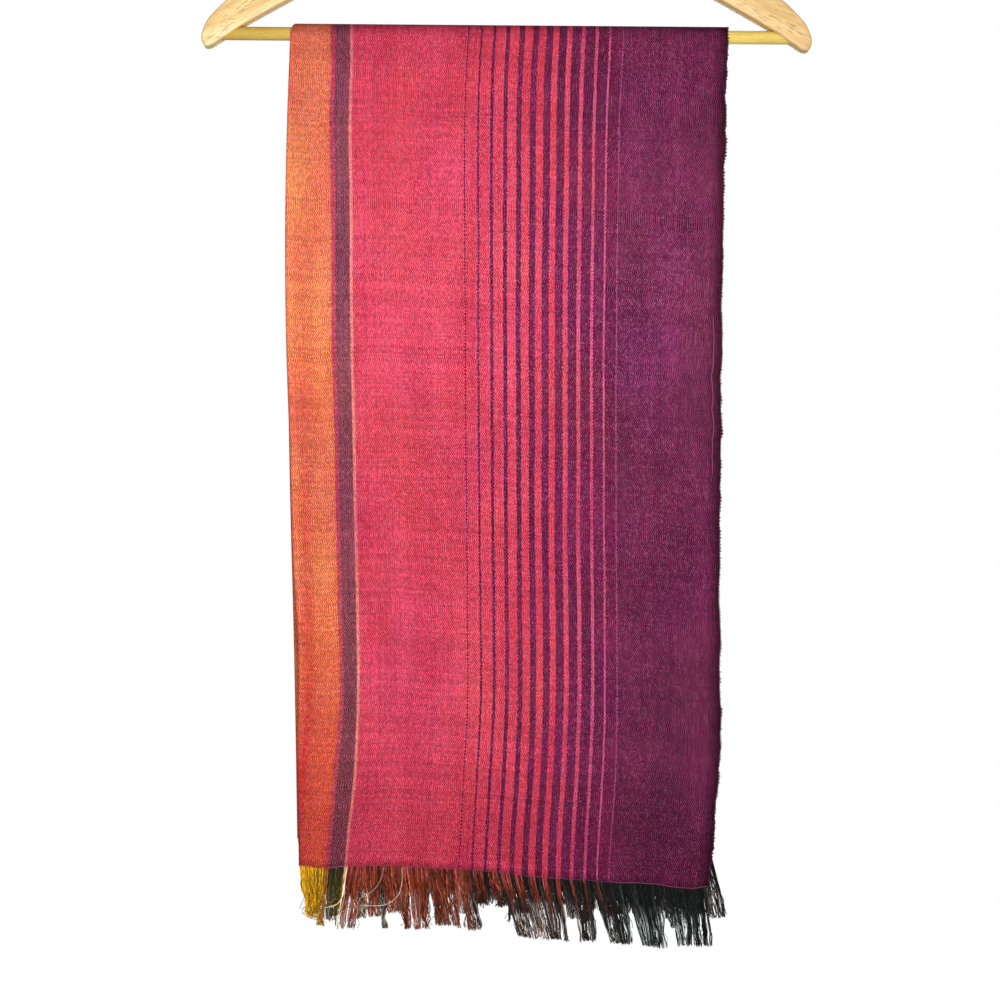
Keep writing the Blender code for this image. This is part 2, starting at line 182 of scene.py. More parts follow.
# The front hem: place across, and how far below the bar each layer ends there, in mm
frontHemRows = table(
    ("x", "outer", "inner"),
    (-146, 606.2, 606.2),
    (-134, 607.1, 605.6),
    (-124, 607.7, 605.2),
    (-113, 606.2, 604.7),
    (-99, 605.9, 604.2),
    (-73, 606.1, 603.1),
    (-51, 607.3, 602.2),
    (-30, 607.9, 601.2),
    (0, 610.4, 599.6),
    (15, 612.2, 598.7),
    (55, 614.3, 597.0),
    (92, 617.3, 595.6),
    (108, 617.3, 595.1),
    (119, 618.2, 594.7),
    (130, 619.8, 594.4),
    (141, 620.3, 594.1),
    (152, 619.3, 593.9),
    (158, 618.8, 593.8),
)

# Half the way between the layers' middles, away from the long fold and in it, in mm
layerSpread = table(
    ("drop", "flat", "fold"),
    (0, 0.65, 0.65),
    (60, 0.70, 0.95),
    (300, 0.85, 1.8),
    (620, 1.05, 2.3),
)

# Soft vertical waves: middle, half width, outward height near the hem and the drop where each begins, in mm
waveNames = ("x", "half", "height", "start")
clothWaves = {
    "front": table(
        waveNames,
        (-112, 48, 5.0, 150),
        (-34, 42, 3.2, 260),
        (48, 50, 6.2, 190),
        (126, 40, 4.4, 110),
    ),
    "back": table(
        waveNames,
        (-122, 44, 5.8, 130),
        (-46, 54, 4.2, 210),
        (34, 40, 6.6, 170),
        (108, 52, 4.8, 120),
    ),
}

# Creases, given one by one: middle, whole length, turn from upright in degrees, half width and height, in mm
creaseNames = ("x", "drop", "length", "turn", "half", "height")
clothCreases = {
    "front": table(
        creaseNames,
        (-140, 480, 420, 1.5, 5.5, -1.1),
        (-147, 300, 360, -0.5, 5, 0.4),
        (-74, 452, 130, 38, 8, 0.9),
        (-48, 498, 106, 52, 7, -0.8),
        (-92, 520, 94, 30, 8, -0.7),
        (-12, 432, 104, -36, 9, 0.7),
        (-66, 560, 78, 64, 6, 0.75),
        (-18, 545, 88, -58, 8, -0.6),
        (22, 470, 130, 18, 10, 0.7),
        (64, 520, 110, -24, 9, -0.65),
        (118, 168, 84, 84, 9, 0.5),
        (124, 236, 90, 97, 10, -0.5),
        (116, 318, 92, 86, 9, 0.5),
        (122, 430, 78, 98, 9, 0.55),
        (128, 500, 70, 112, 7, -0.7),
        (136, 560, 64, 70, 7, 0.6),
        (-60, 120, 150, 8, 14, 0.4),
        (20, 210, 170, -7, 15, 0.45),
        (-30, 330, 140, 12, 13, -0.4),
    ),
    "back": table(
        creaseNames,
        (-132, 430, 300, -2, 6, -0.8),
        (-80, 300, 140, 32, 9, 0.5),
        (-40, 420, 110, -44, 8, -0.5),
        (10, 500, 96, 57, 8, 0.5),
        (60, 380, 150, 15, 11, 0.5),
        (108, 250, 88, 88, 9, -0.4),
        (118, 470, 82, 76, 8, 0.5),
        (40, 140, 160, -9, 14, 0.4),
        (-20, 200, 130, 14, 13, -0.4),
        (-96, 540, 76, 48, 7, 0.5),
    ),
}


def frontHem(across):
    # across runs from 0 at the outer selvedge over the fold at 0.5 to 1 at the inner selvedge
    width = 2 * np.minimum(across, 1 - across)
    fold = clothEdges["front"][-1]["fold"] * mm
    right = clothEdges["front"][-1]["outer"] * mm
    x = right + width * (fold - right)
    outer = curveThrough(frontHemRows, "x", "outer", x)
    inner = curveThrough(frontHemRows, "x", "inner", x)
    return np.where(across < 0.5, outer, inner)


def selvedgeWander(drop, phase):
    # the uneven pull of the weft: sines of unlike lengths, some 0.6, 0.4 and 0.25 mm high
    d = drop / mm
    slow = 0.6 * np.sin(d / 9.7 + phase) * np.sin(d / 61 + 2 * phase)
    quick = 0.42 * np.sin(d / 4.1 + 1.7 * phase) + 0.25 * np.sin(d / 1.9 + 0.6 * phase)
    return (slow + quick * (0.6 + 0.4 * np.sin(d / 37))) * mm


def section(side, across, drop):
    # the folded cloth's middle line across: its x, its offset q from the bar's axis, the direction it faces,
    # where the fold turns and how wide, both selvedges, and how far round the fold a point is
    foldX = curveThrough(clothEdges[side], "drop", "fold", drop)
    flat = curveThrough(layerSpread, "drop", "flat", drop)
    fold = curveThrough(layerSpread, "drop", "fold", drop)
    turnX = foldX + clothForm["solidWall"] / 2 + fold
    outerEnd = 0.5 - clothForm["foldShare"] / 2
    innerStart = 0.5 + clothForm["foldShare"] / 2
    outerEdge = curveThrough(clothEdges[side], "drop", "outer", drop) + selvedgeWander(drop, 0.4)
    innerEdge = curveThrough(clothEdges[side], "drop", "inner", drop) + selvedgeWander(drop, 2.9)
    outerX = outerEdge + np.clip(across / outerEnd, 0, 1) * (turnX - outerEdge)
    innerX = turnX + np.clip((across - innerStart) / (1 - innerStart), 0, 1) * (innerEdge - turnX)
    spread = flat + (fold - flat) * np.exp(-(((outerX - turnX) / clothForm["foldReach"]) ** 2))
    angle = np.clip((across - outerEnd) / clothForm["foldShare"], 0, 1) * math.pi
    inTurn = (across > outerEnd) & (across < innerStart)
    x = np.where(inTurn, turnX - fold * np.sin(angle), np.where(across <= outerEnd, outerX, innerX))
    apart = np.where(across <= outerEnd, 2 * spread, 0)
    q = np.where(inTurn, fold * (1 + np.cos(angle)), apart) + innerOffset
    return x, q, -np.sin(angle), np.cos(angle), turnX, fold, outerEdge, innerEdge, angle


def standOut(side, x, drop):
    # raised cosine waves that grow with the drop, creases that fade along and across their line, and ripples
    height = np.zeros_like(x)
    for row in clothWaves[side]:
        near = np.clip(np.abs(x / mm - row["x"]) / row["half"], 0, 1)
        start = row["start"] * mm
        grown = np.clip((drop - start) / (clothForm["fullDrop"] - start), 0, 1.2)
        height += row["height"] * mm * grown**1.5 * (1 + np.cos(math.pi * near)) / 2
    for row in clothCreases[side]:
        turn = math.radians(row["turn"])
        overX = x / mm - row["x"]
        overDrop = drop / mm - row["drop"]
        acrossIt = overX * math.cos(turn) + overDrop * math.sin(turn)
        alongIt = overDrop * math.cos(turn) - overX * math.sin(turn)
        fade = np.clip(1 - (2 * alongIt / row["length"]) ** 2, 0, 1) ** 2
        height += row["height"] * mm * fade * np.exp(-((acrossIt / row["half"]) ** 2))
    ripple = np.sin(x / (17 * mm) + 1.3 * np.sin(drop / (43 * mm)))
    ripple = ripple * np.sin(drop / (29 * mm) + np.sin(x / (38 * mm)))
    return height + clothForm["rippleHeight"] * ripple * np.clip(drop / clothForm["rippleDrop"], 0, 1)


def hangingDrops(across, along):
    # the front hem's place, and how far each point hangs below the bar in front and behind, or 0
    hem = frontHem(across)
    return hem, {"front": np.clip(hem - along, 0, None), "back": np.clip(along - hem - halfTurn, 0, None)}


def clothPoints(across, along, outwards):
    # along runs from 0 at the front hem up over the bar to the cloth's length at the back hem; the section, waves
    # and creases say how far from the bar's axis a point lies, level below the bar and round it above
    across, along, outwards = np.broadcast_arrays(across, along, outwards)
    hem, drops = hangingDrops(across, along)
    turn = np.clip((along - hem) / halfTurn, 0, 1) * math.pi
    found = []
    for side, drop in drops.items():
        x, q, normalX, normalQ, turnX = section(side, across, drop)[:5]
        reach = q + normalQ * outwards + standOut(side, x, drop)
        z = -clothForm["barDrop"] - drop + reach * np.sin(turn)
        nearFold = np.exp(-(x - turnX) / clothForm["cornerReach"])
        drawnIn = clothForm["cornerPull"] * np.sin(turn) ** 2 * nearFold
        found.append(np.stack([x + normalX * outwards + drawnIn, -reach * np.cos(turn), z], axis=-1))
    return np.where((turn > math.pi / 2)[..., None], found[1], found[0])


# Where the stripes run, from the cloth's long fold as it lies over the bar

stripePlan = {
    "pitch": 0.7307 * mm,         # of the warp threads
    "weftPitch": 1.22 * mm,
    "looser": 1.10,               # the pitch of the crossings that show, against that of the bands
    "pickShift": 0.8,             # how far the warp threads move from pick to pick, in threads
    "bandShift": 0.4,             # how far the bands' edges move with them
    "selvedge": 438,              # threads from the fold to each selvedge
    "rampReach": 450,             # threads on each side of the fold that the colour ramps cover
    "goldReach": 41.5,            # threads on each side of the fold that are gold
    "step": 13,                   # threads from one graded stripe to the next, each one thread wider
    "fading": (268.0, 332.0),     # where the crimson stripes take on the weft's purple, and how much of it
    "faded": 0.95,
    "lastLine": 325.0,            # past this thread the crimson is the last line, one thread wide
}

# The first thread of each band whose place is given below, counted from the fold over the bar
lineThreads = {
    "plum": 45,
    "peach": 59,
    "firstDark": 177,
    "thirdDark": 203,
    "seventhDark": 255,
    "eleventhDark": 307,
    "purple": 333,
}

# Left edges of those bands on the hanging cloth, by drop, in mm
lineNames = ("drop", *lineThreads)
stripeLines = {
    "front": table(
        lineNames,
        (0, -126.0, -114.6, -28.2, -9.5, 29.2, 67.2, 85.0),
        (18, -125.2, -114.6, -29.2, -10.6, 28.2, 66.4, 84.5),
        (62, -126.3, -115.4, -30.3, -11.4, 27.1, 65.1, 82.7),
        (120, -124.5, -114.1, -29.8, -11.0, 27.1, 64.7, 82.3),
        (179, -124.0, -113.4, -29.3, -10.7, 27.1, 64.5, 81.9),
        (237, -122.9, -112.0, -28.6, -10.2, 27.4, 64.7, 82.0),
        (303, -120.3, -109.9, -27.6, -9.3, 28.0, 65.2, 82.4),
        (361, -118.6, -108.4, -26.6, -8.3, 28.5, 65.7, 82.7),
        (427, -116.7, -106.5, -25.7, -7.1, 29.8, 66.8, 83.9),
        (486, -115.1, -105.7, -25.1, -6.7, 30.2, 67.1, 84.5),
        (544, -119.6, -107.9, -27.6, -9.1, 28.5, 65.4, 83.4),
        (588, -123.2, -112.0, -29.4, -11.1, 25.4, 63.2, 80.6),
        (606, -124.5, -113.2, -30.2, -11.9, 25.3, 62.5, 79.9),
        (625, -125.0, -113.8, -30.6, -12.2, 25.0, 62.2, 79.6),
    ),
    "back": table(
        lineNames,
        (0, -126.0, -114.6, -28.2, -9.5, 29.2, 67.2, 85.0),
        (160, -126.4, -115.9, -27.6, -8.6, 28.8, 66.4, 84.4),
        (340, -123.2, -112.9, -26.8, -8.2, 28.6, 65.6, 83.4),
        (500, -119.0, -108.9, -27.4, -9.2, 27.4, 64.0, 82.0),
        (620, -117.8, -107.4, -28.0, -9.8, 26.8, 63.4, 81.4),
    ),
}


def warpPlace(across, along):
    # the place across the laid-out cloth, in metres from the fold over the bar; below 0 on the inner layer.
    # Between two known lines, and from the fold or to the selvedge, it changes evenly with x.
    across, along = np.broadcast_arrays(across, along)
    hem, drops = hangingDrops(across, along)
    found = []
    for side, drop in drops.items():
        x, _, _, _, turnX, fold, outerEdge, innerEdge, angle = section(side, across, drop)
        lines = [curveThrough(stripeLines[side], "drop", name, drop) for name in lineThreads]
        places = [thread * stripePlan["pitch"] for thread in lineThreads.values()]
        atFold = places[0] - (lines[0] - turnX)
        hung = [turnX, *lines, outerEdge]
        laid = [atFold, *places, np.full_like(atFold, stripePlan["selvedge"] * stripePlan["pitch"])]
        outer = laid[-1] + 0 * x
        for i in reversed(range(len(hung) - 1)):
            between = laid[i] + (x - hung[i]) / (hung[i + 1] - hung[i]) * (laid[i + 1] - laid[i])
            outer = np.where(x <= hung[i + 1], between, outer)
        innerFrom = atFold - math.pi * fold
        innerTo = -stripePlan["selvedge"] * stripePlan["pitch"]
        inner = innerFrom + (x - turnX) / (innerEdge - turnX) * (innerTo - innerFrom)
        place = np.where(angle <= 0, outer, np.where(angle >= math.pi, inner, atFold - angle * fold))
        found.append(place)
    return np.where(along > hem + halfTurn / 2, found[1], found[0])


def signedVolume(points, faces):
    # six times the volume under the faces, positive where they point outwards
    a, b, c = (points[faces[:, i]] for i in range(3))
    d = points[faces[:, 3]]
    return (a * np.cross(b, c)).sum() + (a * np.cross(c, d)).sum()


def clothShell(finish):
    # one thin shell: a grid of points on each face of the cloth, joined round the edge by a rim
    outerEnd = 0.5 - clothForm["foldShare"] / 2
    layer = np.linspace(0, outerEnd, clothForm["layerColumns"] + 1)
    turn = np.linspace(outerEnd, 1 - outerEnd, clothForm["foldColumns"] + 1)
    across = np.concatenate([layer, turn[1:-1], 1 - layer[::-1]])[None, :]
    hem = frontHem(across)
    frontShare = np.linspace(0, 1, clothForm["frontRows"] + 1)[:, None]
    turnShare = np.linspace(0, 1, clothForm["turnRows"] + 1)[1:-1, None]
    backShare = np.linspace(0, 1, clothForm["backRows"] + 1)[:, None]
    along = np.concatenate([
        frontShare * hem,
        hem + turnShare * halfTurn,
        hem + halfTurn + backShare * (clothForm["length"] - hem - halfTurn),
    ])
    across = np.broadcast_to(across, along.shape)
    outside = clothPoints(across, along, clothForm["wall"] / 2)
    inside = clothPoints(across, along, -clothForm["wall"] / 2)
    rows, columns = along.shape
    half = rows * columns
    points = np.concatenate([outside.reshape(-1, 3), inside.reshape(-1, 3)])
    grid = np.arange(half).reshape(rows, columns)
    border = np.concatenate([grid[0, :-1], grid[:-1, -1], grid[-1, :0:-1], grid[:0:-1, 0]])
    ahead = np.roll(border, -1)
    rim = np.stack([ahead, border, border + half, ahead + half], axis=1)
    quads = np.concatenate([gridFaces(rows, columns), gridFaces(rows, columns, half, flip=True), rim])
    if signedVolume(points, quads) < 0:
        quads = quads[:, ::-1]
    uv = np.stack([warpPlace(across, along), along], axis=-1).reshape(-1, 2)
    return meshFrom("shawlCloth", points, [quads], np.concatenate([uv, uv]), finish)


# Node helpers

def addNode(tree, kind, settings=None, inputs=None):
    # inputs are numbers, colours or other nodes' sockets
    made = tree.nodes.new(kind)
    for name, value in (settings or {}).items():
        setattr(made, name, value)
    for name, value in (inputs or {}).items():
        if isinstance(value, bpy.types.NodeSocket):
            tree.links.new(value, made.inputs[name])
        else:
            made.inputs[name].default_value = value
    return made


def calc(tree, operation, *values, clamp=False):
    settings = {"operation": operation, "use_clamp": clamp}
    return addNode(tree, "ShaderNodeMath", settings, dict(enumerate(values))).outputs[0]


def product(tree, *values):
    made = values[0]
    for value in values[1:]:
        made = calc(tree, "MULTIPLY", made, value)
    return made


def around(tree, value, reach):
    # a 0 to 1 value as a factor about 1
    return calc(tree, "MULTIPLY_ADD", calc(tree, "SUBTRACT", value, 0.5), 2 * reach, 1.0)


def remap(tree, value, fromLow, fromHigh, toLow, toHigh):
    inputs = {"Value": value, "From Min": fromLow, "From Max": fromHigh, "To Min": toLow, "To Max": toHigh}
    return addNode(tree, "ShaderNodeMapRange", {"clamp": True}, inputs).outputs["Result"]


def vector(tree, x, y=0.0, z=0.0):
    return addNode(tree, "ShaderNodeCombineXYZ", None, {"X": x, "Y": y, "Z": z}).outputs[0]


def xyz(tree, place):
    return addNode(tree, "ShaderNodeSeparateXYZ", None, {"Vector": place}).outputs


def weavePlace(tree):
    return addNode(tree, "ShaderNodeUVMap", {"uv_map": "weave"}).outputs["UV"]


def objectPlace(tree):
    return addNode(tree, "ShaderNodeTexCoord").outputs["Object"]


def noise(tree, place, scale=1.0, detail=2.0, roughness=0.5):
    inputs = {"Vector": place, "Scale": scale, "Detail": detail, "Roughness": roughness}
    return addNode(tree, "ShaderNodeTexNoise", None, inputs).outputs["Fac"]


def drawnNoise(tree, places, scales, z=0.0, detail=2.0, roughness=0.5):
    # a noise with a scale of its own for each place, so that it is drawn out one way; z picks a part of it
    scaled = [product(tree, place, scale) for place, scale in zip(places, scales)] + [z]
    return noise(tree, vector(tree, *scaled[:3]), 1.0, detail, roughness)


def whiteNoise(tree, x, y=0.0, z=0.0):
    inputs = {"Vector": vector(tree, x, y, z)}
    return addNode(tree, "ShaderNodeTexWhiteNoise", None, inputs).outputs["Value"]


def grey(tree, value):
    inputs = dict.fromkeys(("Red", "Green", "Blue"), value)
    return addNode(tree, "ShaderNodeCombineColor", None, inputs).outputs[0]


def mixColour(tree, share, first, second, blend="MIX"):
    settings = {"data_type": "RGBA", "blend_type": blend}
    return addNode(tree, "ShaderNodeMix", settings, {0: share, 6: first, 7: second}).outputs[2]


def tinted(tree, colour, tint):
    return mixColour(tree, 1.0, colour, tint, "MULTIPLY")


def ramp(tree, share, stops, interpolation="LINEAR"):
    made = addNode(tree, "ShaderNodeValToRGB", None, {"Fac": share})
    elements = made.color_ramp.elements
    made.color_ramp.interpolation = interpolation
    while len(elements) > 1:
        elements.remove(elements[0])
    elements[0].position = stops[0][0]
    elements[0].color = stops[0][1]
    for position, colour in stops[1:]:
        elements.new(position).color = colour
    return made.outputs["Color"]


def addBump(tree, shader, strength, distance, height):
    inputs = {"Strength": strength, "Distance": distance, "Height": height}
    bump = addNode(tree, "ShaderNodeBump", None, inputs)
    tree.links.new(bump.outputs["Normal"], shader["Normal"])


def newGroup(name, inputs, outputs):
    # inputs are numbers; outputs are names by kind of socket
    tree = bpy.data.node_groups.new(name, "ShaderNodeTree")
    for socket in inputs:
        tree.interface.new_socket(socket, in_out="INPUT", socket_type="NodeSocketFloat")
    for kind, sockets in outputs.items():
        for socket in sockets:
            tree.interface.new_socket(socket, in_out="OUTPUT", socket_type="NodeSocket" + kind)
    return tree, tree.nodes.new("NodeGroupInput").outputs, tree.nodes.new("NodeGroupOutput").inputs


def linkAll(tree, found, result):
    for name, value in found.items():
        tree.links.new(value, result[name])


def useGroup(tree, group, inputs):
    return addNode(tree, "ShaderNodeGroup", {"node_tree": group}, inputs).outputs


def newMaterial(name):
    made = bpy.data.materials.new(name)
    made.use_nodes = True
    tree = made.node_tree
    return made, tree, tree.nodes["Principled BSDF"].inputs


# Thread colours: the warp and the weft that crosses it, and in the fringe the loose thread and its highlight

partNames = ("warp", "weft", "loose", "light")
threadColours = {name: dict(zip(partNames, colours)) for name, *colours in (
    ("gold", (255, 172, 104), (216, 34, 38), (192, 140, 6), (246, 206, 60)),
    ("rose", (214, 96, 96), (170, 30, 78), (160, 96, 30), (226, 160, 90)),
    ("plum", (80, 36, 48), (176, 92, 104), (50, 46, 16), (120, 112, 60)),
    ("peach", (250, 166, 136), (222, 88, 102), (240, 220, 176), (255, 246, 220)),
    ("crimson", (255, 100, 122), (176, 0, 40), (114, 40, 20), (214, 114, 80)),
    ("dark", (26, 0, 18), (154, 44, 98), (16, 16, 14), (72, 76, 68)),
    ("purple", (4, 0, 6), (155, 55, 107), (11, 15, 13), (56, 64, 62)),
    ("edge", (10, 3, 9), (50, 16, 38), (9, 12, 11), (58, 66, 64)),
    ("last", (176, 100, 136), (154, 50, 104), (114, 60, 60), (214, 140, 140)),
    ("moss", (76, 70, 54), (150, 66, 92), (42, 40, 22), (112, 108, 78)),
    ("ash", (120, 110, 108), (150, 66, 92), (164, 154, 146), (226, 226, 224)),
    ("faded", (224, 122, 162), (154, 44, 98)),
)}

# The first thread of each band, from the inner selvedge over the fold at 0 to the outer selvedge. The steps
# of a ramp are 3.5 threads wide, so the purple starts too early here, and the last line covers that.
bandStarts = [
    (-450, "edge"),
    (-436, "purple"),
    (-408, "ash"),
    (-394, "purple"),
    (-172, "moss"),
    (-164, "ash"),
    (-142, "moss"),
    (-100, "ash"),
    (-96, "moss"),
    (-62, "peach"),
    (-59, "plum"),
    (-45, "rose"),
    (-42, "gold"),
    (42, "rose"),
    (45, "plum"),
    (59, "peach"),
    (62, "crimson"),
    (330, "purple"),
    (436, "edge"),
]


def bandGroup():
    # thread number from the place across, a colour for each band, and graded dark stripes among the crimson
    outputs = {"Color": ("Warp", "Weft", "Loose", "Light"), "Float": ("Thread", "Gold")}
    tree, given, result = newGroup("warp bands", ["Across"], outputs)
    reach = stripePlan["rampReach"]
    step = float(stripePlan["step"])
    thread = calc(tree, "FLOOR", calc(tree, "DIVIDE", given["Across"], stripePlan["pitch"]))
    position = calc(tree, "DIVIDE", calc(tree, "ADD", thread, reach + 0.5), 2.0 * reach)
    graded = calc(tree, "SUBTRACT", thread, float(lineThreads["firstDark"]))
    number = calc(tree, "FLOOR", calc(tree, "DIVIDE", graded, step))
    within = calc(tree, "SUBTRACT", graded, product(tree, number, step))
    started = calc(tree, "GREATER_THAN", graded, -0.5)
    ended = calc(tree, "LESS_THAN", thread, lineThreads["purple"] - 0.5)
    dark = product(tree, calc(tree, "LESS_THAN", within, calc(tree, "ADD", number, 0.9)), started, ended)
    fading = product(tree, remap(tree, thread, *stripePlan["fading"], 0.0, stripePlan["faded"]), ended)
    lastLine = product(tree, calc(tree, "GREATER_THAN", thread, stripePlan["lastLine"]), ended)
    for part in partNames:
        stops = []
        for start, name in bandStarts:
            stops.append(((start + reach) / (2 * reach), srgb(*threadColours[name][part])))
        colour = ramp(tree, position, stops, "CONSTANT")
        if part in threadColours["faded"]:
            colour = mixColour(tree, fading, colour, srgb(*threadColours["faded"][part]))
        colour = mixColour(tree, lastLine, colour, srgb(*threadColours["last"][part]))
        mixed = mixColour(tree, dark, colour, srgb(*threadColours["dark"][part]))
        tree.links.new(mixed, result[part.capitalize()])
    gold = calc(tree, "LESS_THAN", calc(tree, "ABSOLUTE", thread), stripePlan["goldReach"])
    linkAll(tree, {"Thread": thread, "Gold": gold}, result)
    return tree


weaveForm = {
    # how the threads wander: noise scales across and along, the part of the noise, and the reach
    "warpWander": ((34.0, 11.0), 0.4, 1.6 * mm),
    "weftWander": ((12.0, 20.0), 0.0, 6.0 * mm),
    "crossing": 0.6,              # how much of a thread's height its crossing gives
    "sharpness": 1.7,             # how sharply one set's colour gives way to the other's
}


def weaveGroup():
    # plain weave: where the warp number and the weft number add to an odd number, the warp thread is on top;
    # both sets of threads wander a little about their even places
    outputs = ("Warp On Top", "Height", "Crossing", "Fleck", "Pick", "Warp Thread", "Across")
    tree, given, result = newGroup("plain weave", ["Across", "Along"], {"Float": outputs})
    place = vector(tree, given["Across"], given["Along"])

    def wander(value, scales, z, reach):
        # the value moved by a slow noise
        inputs = {0: place, 1: (*scales, 0.0), 2: (0.0, 0.0, z)}
        moved = addNode(tree, "ShaderNodeVectorMath", {"operation": "MULTIPLY_ADD"}, inputs).outputs[0]
        change = product(tree, calc(tree, "SUBTRACT", noise(tree, moved), 0.5), reach)
        return calc(tree, "ADD", value, change)

    def rise(own, other):
        # a thread's height across itself, highest in the middle of its crossing
        share = weaveForm["crossing"]
        return product(tree, own, calc(tree, "MULTIPLY_ADD", other, share, 1 - share))

    def halfWaves(value):
        return calc(tree, "SINE", product(tree, value, math.pi))

    wandered = wander(given["Across"], *weaveForm["warpWander"])
    weft = calc(tree, "DIVIDE", wander(given["Along"], *weaveForm["weftWander"]), stripePlan["weftPitch"])
    weftNumber = calc(tree, "FLOOR", weft)
    shift = calc(tree, "SUBTRACT", whiteNoise(tree, weftNumber, 0.0, 21.0), 0.5)
    even = calc(tree, "DIVIDE", wandered, stripePlan["pitch"] * stripePlan["looser"])
    warp = calc(tree, "MULTIPLY_ADD", shift, stripePlan["pickShift"], even)
    warpNumber = calc(tree, "FLOOR", warp)
    top = calc(tree, "FLOORED_MODULO", calc(tree, "ADD", warpNumber, weftNumber), 2.0)
    overWarp = halfWaves(calc(tree, "FRACT", warp))
    overWeft = halfWaves(calc(tree, "FRACT", weft))
    warpUp = product(tree, rise(overWarp, overWeft), top)
    weftUp = product(tree, rise(overWeft, overWarp), calc(tree, "SUBTRACT", 1.0, top))
    checks = product(tree, halfWaves(warp), halfWaves(weft))
    linkAll(tree, {
        "Warp On Top": calc(tree, "MULTIPLY_ADD", checks, -weaveForm["sharpness"], 0.5, clamp=True),
        "Height": calc(tree, "ADD", warpUp, weftUp),
        "Crossing": whiteNoise(tree, warpNumber, weftNumber),
        "Fleck": whiteNoise(tree, warpNumber, weftNumber, 5.0),
        "Pick": whiteNoise(tree, weftNumber, 0.0, 9.0),
        "Warp Thread": whiteNoise(tree, warpNumber, 0.0, 13.0),
        "Across": calc(tree, "MULTIPLY_ADD", shift, stripePlan["bandShift"] * stripePlan["pitch"], wandered),
    }, result)
    return tree


shawlFinish = {
    "weftShare": 0.96,            # how much of the top thread's own colour shows
    "shareChange": 0.8,           # how much wide patches change that
    "grain": 0.30,                # brightness change from crossing to crossing
    "warpStreak": 0.12,
    "warpThread": 0.08,
    "pick": 0.12,
    "weftSlub": 0.10,
    "mottle": 0.10,
    "dyeBlotch": 0.12,
    "level": 0.80,
    # noises: scales across and along, the part of the noise, and detail
    "noises": {
        "blotch": ((26.0, 26.0), 1.0, 4.0),
        "wide": ((34.0, 13.0), 2.0, 3.0),
        "patch": ((17.0, 11.0), 7.0, 3.0),
        "mottle": ((420.0, 190.0), 4.0, 2.0),
        "streak": ((900.0, 16.0), 0.0, 2.0),
        "slub": ((22.0, 640.0), 3.0, 2.0),
    },
    # the two ends of a range and what they become: along the cloth in m, across it in threads from the fold
    "hemRed": (0.06, 0.215, 0.40, 0.0),
    "creaseRed": (1.5, 7.5, 0.3, 0.0),        # by the distance from the crease's middle thread
    "creaseAlong": (0.24, 0.36, 1.0, 0.0),
    "tint": (0.36, 0.64, 0.0, 1.0),
    "fleck": (0.45, 1.0, 0.0, 0.18),          # how much a pale fleck of weft covers
    "fleckAtEdge": (424.0, 437.0, 1.0, 0.5),
    "paintedGapShade": (0.0, 0.9, 0.84, 1.1),          # painted shade between the threads and painted light on their tops
    "edgeShade": (422.0, 438.0, 1.0, 0.28),
    "foldLight": (0.0, 6.0, 1.08, 1.0),
    # painted shade: the purple is darker towards the hem
    "purpleHemShade": (0.2, 0.36, 0.84, 1.0),
    "barShade": (-0.187, -0.1785, 1.0, 0.66), # by height; painted shade where the cloth turns over the bar
    "roughness": (0.2, 0.8, 0.78, 0.92),
    "creaseThread": 11.0,
    # painted shade, lighter in the upper middle and darker at the top and towards the hem: brightness by the
    # distance from the front hem, as a part of the length below
    "paintedShadeLength": 0.62,
    "depth": ((0.03, 0.757), (0.145, 0.885), (0.26, 0.94), (0.38, 0.87), (0.50, 0.917), (0.62, 0.99),
              (0.735, 1.0), (0.855, 0.925), (0.97, 0.84)),
    "fleckColour": (255, 170, 206),
    "fleckOffWarp": 0.6,          # how much of a fleck is missing on the warp
    "warmTint": (1.03, 1.09, 0.92, 1.0),
    "coolTint": (0.97, 0.89, 1.11, 1.0),
    "fibre": (2600.0, 0.25),      # scale and height of the fibres on the threads
    "bump": 0.55,
    "bumpDepth": 0.10 * mm,
    "sheen": 0.01,
}


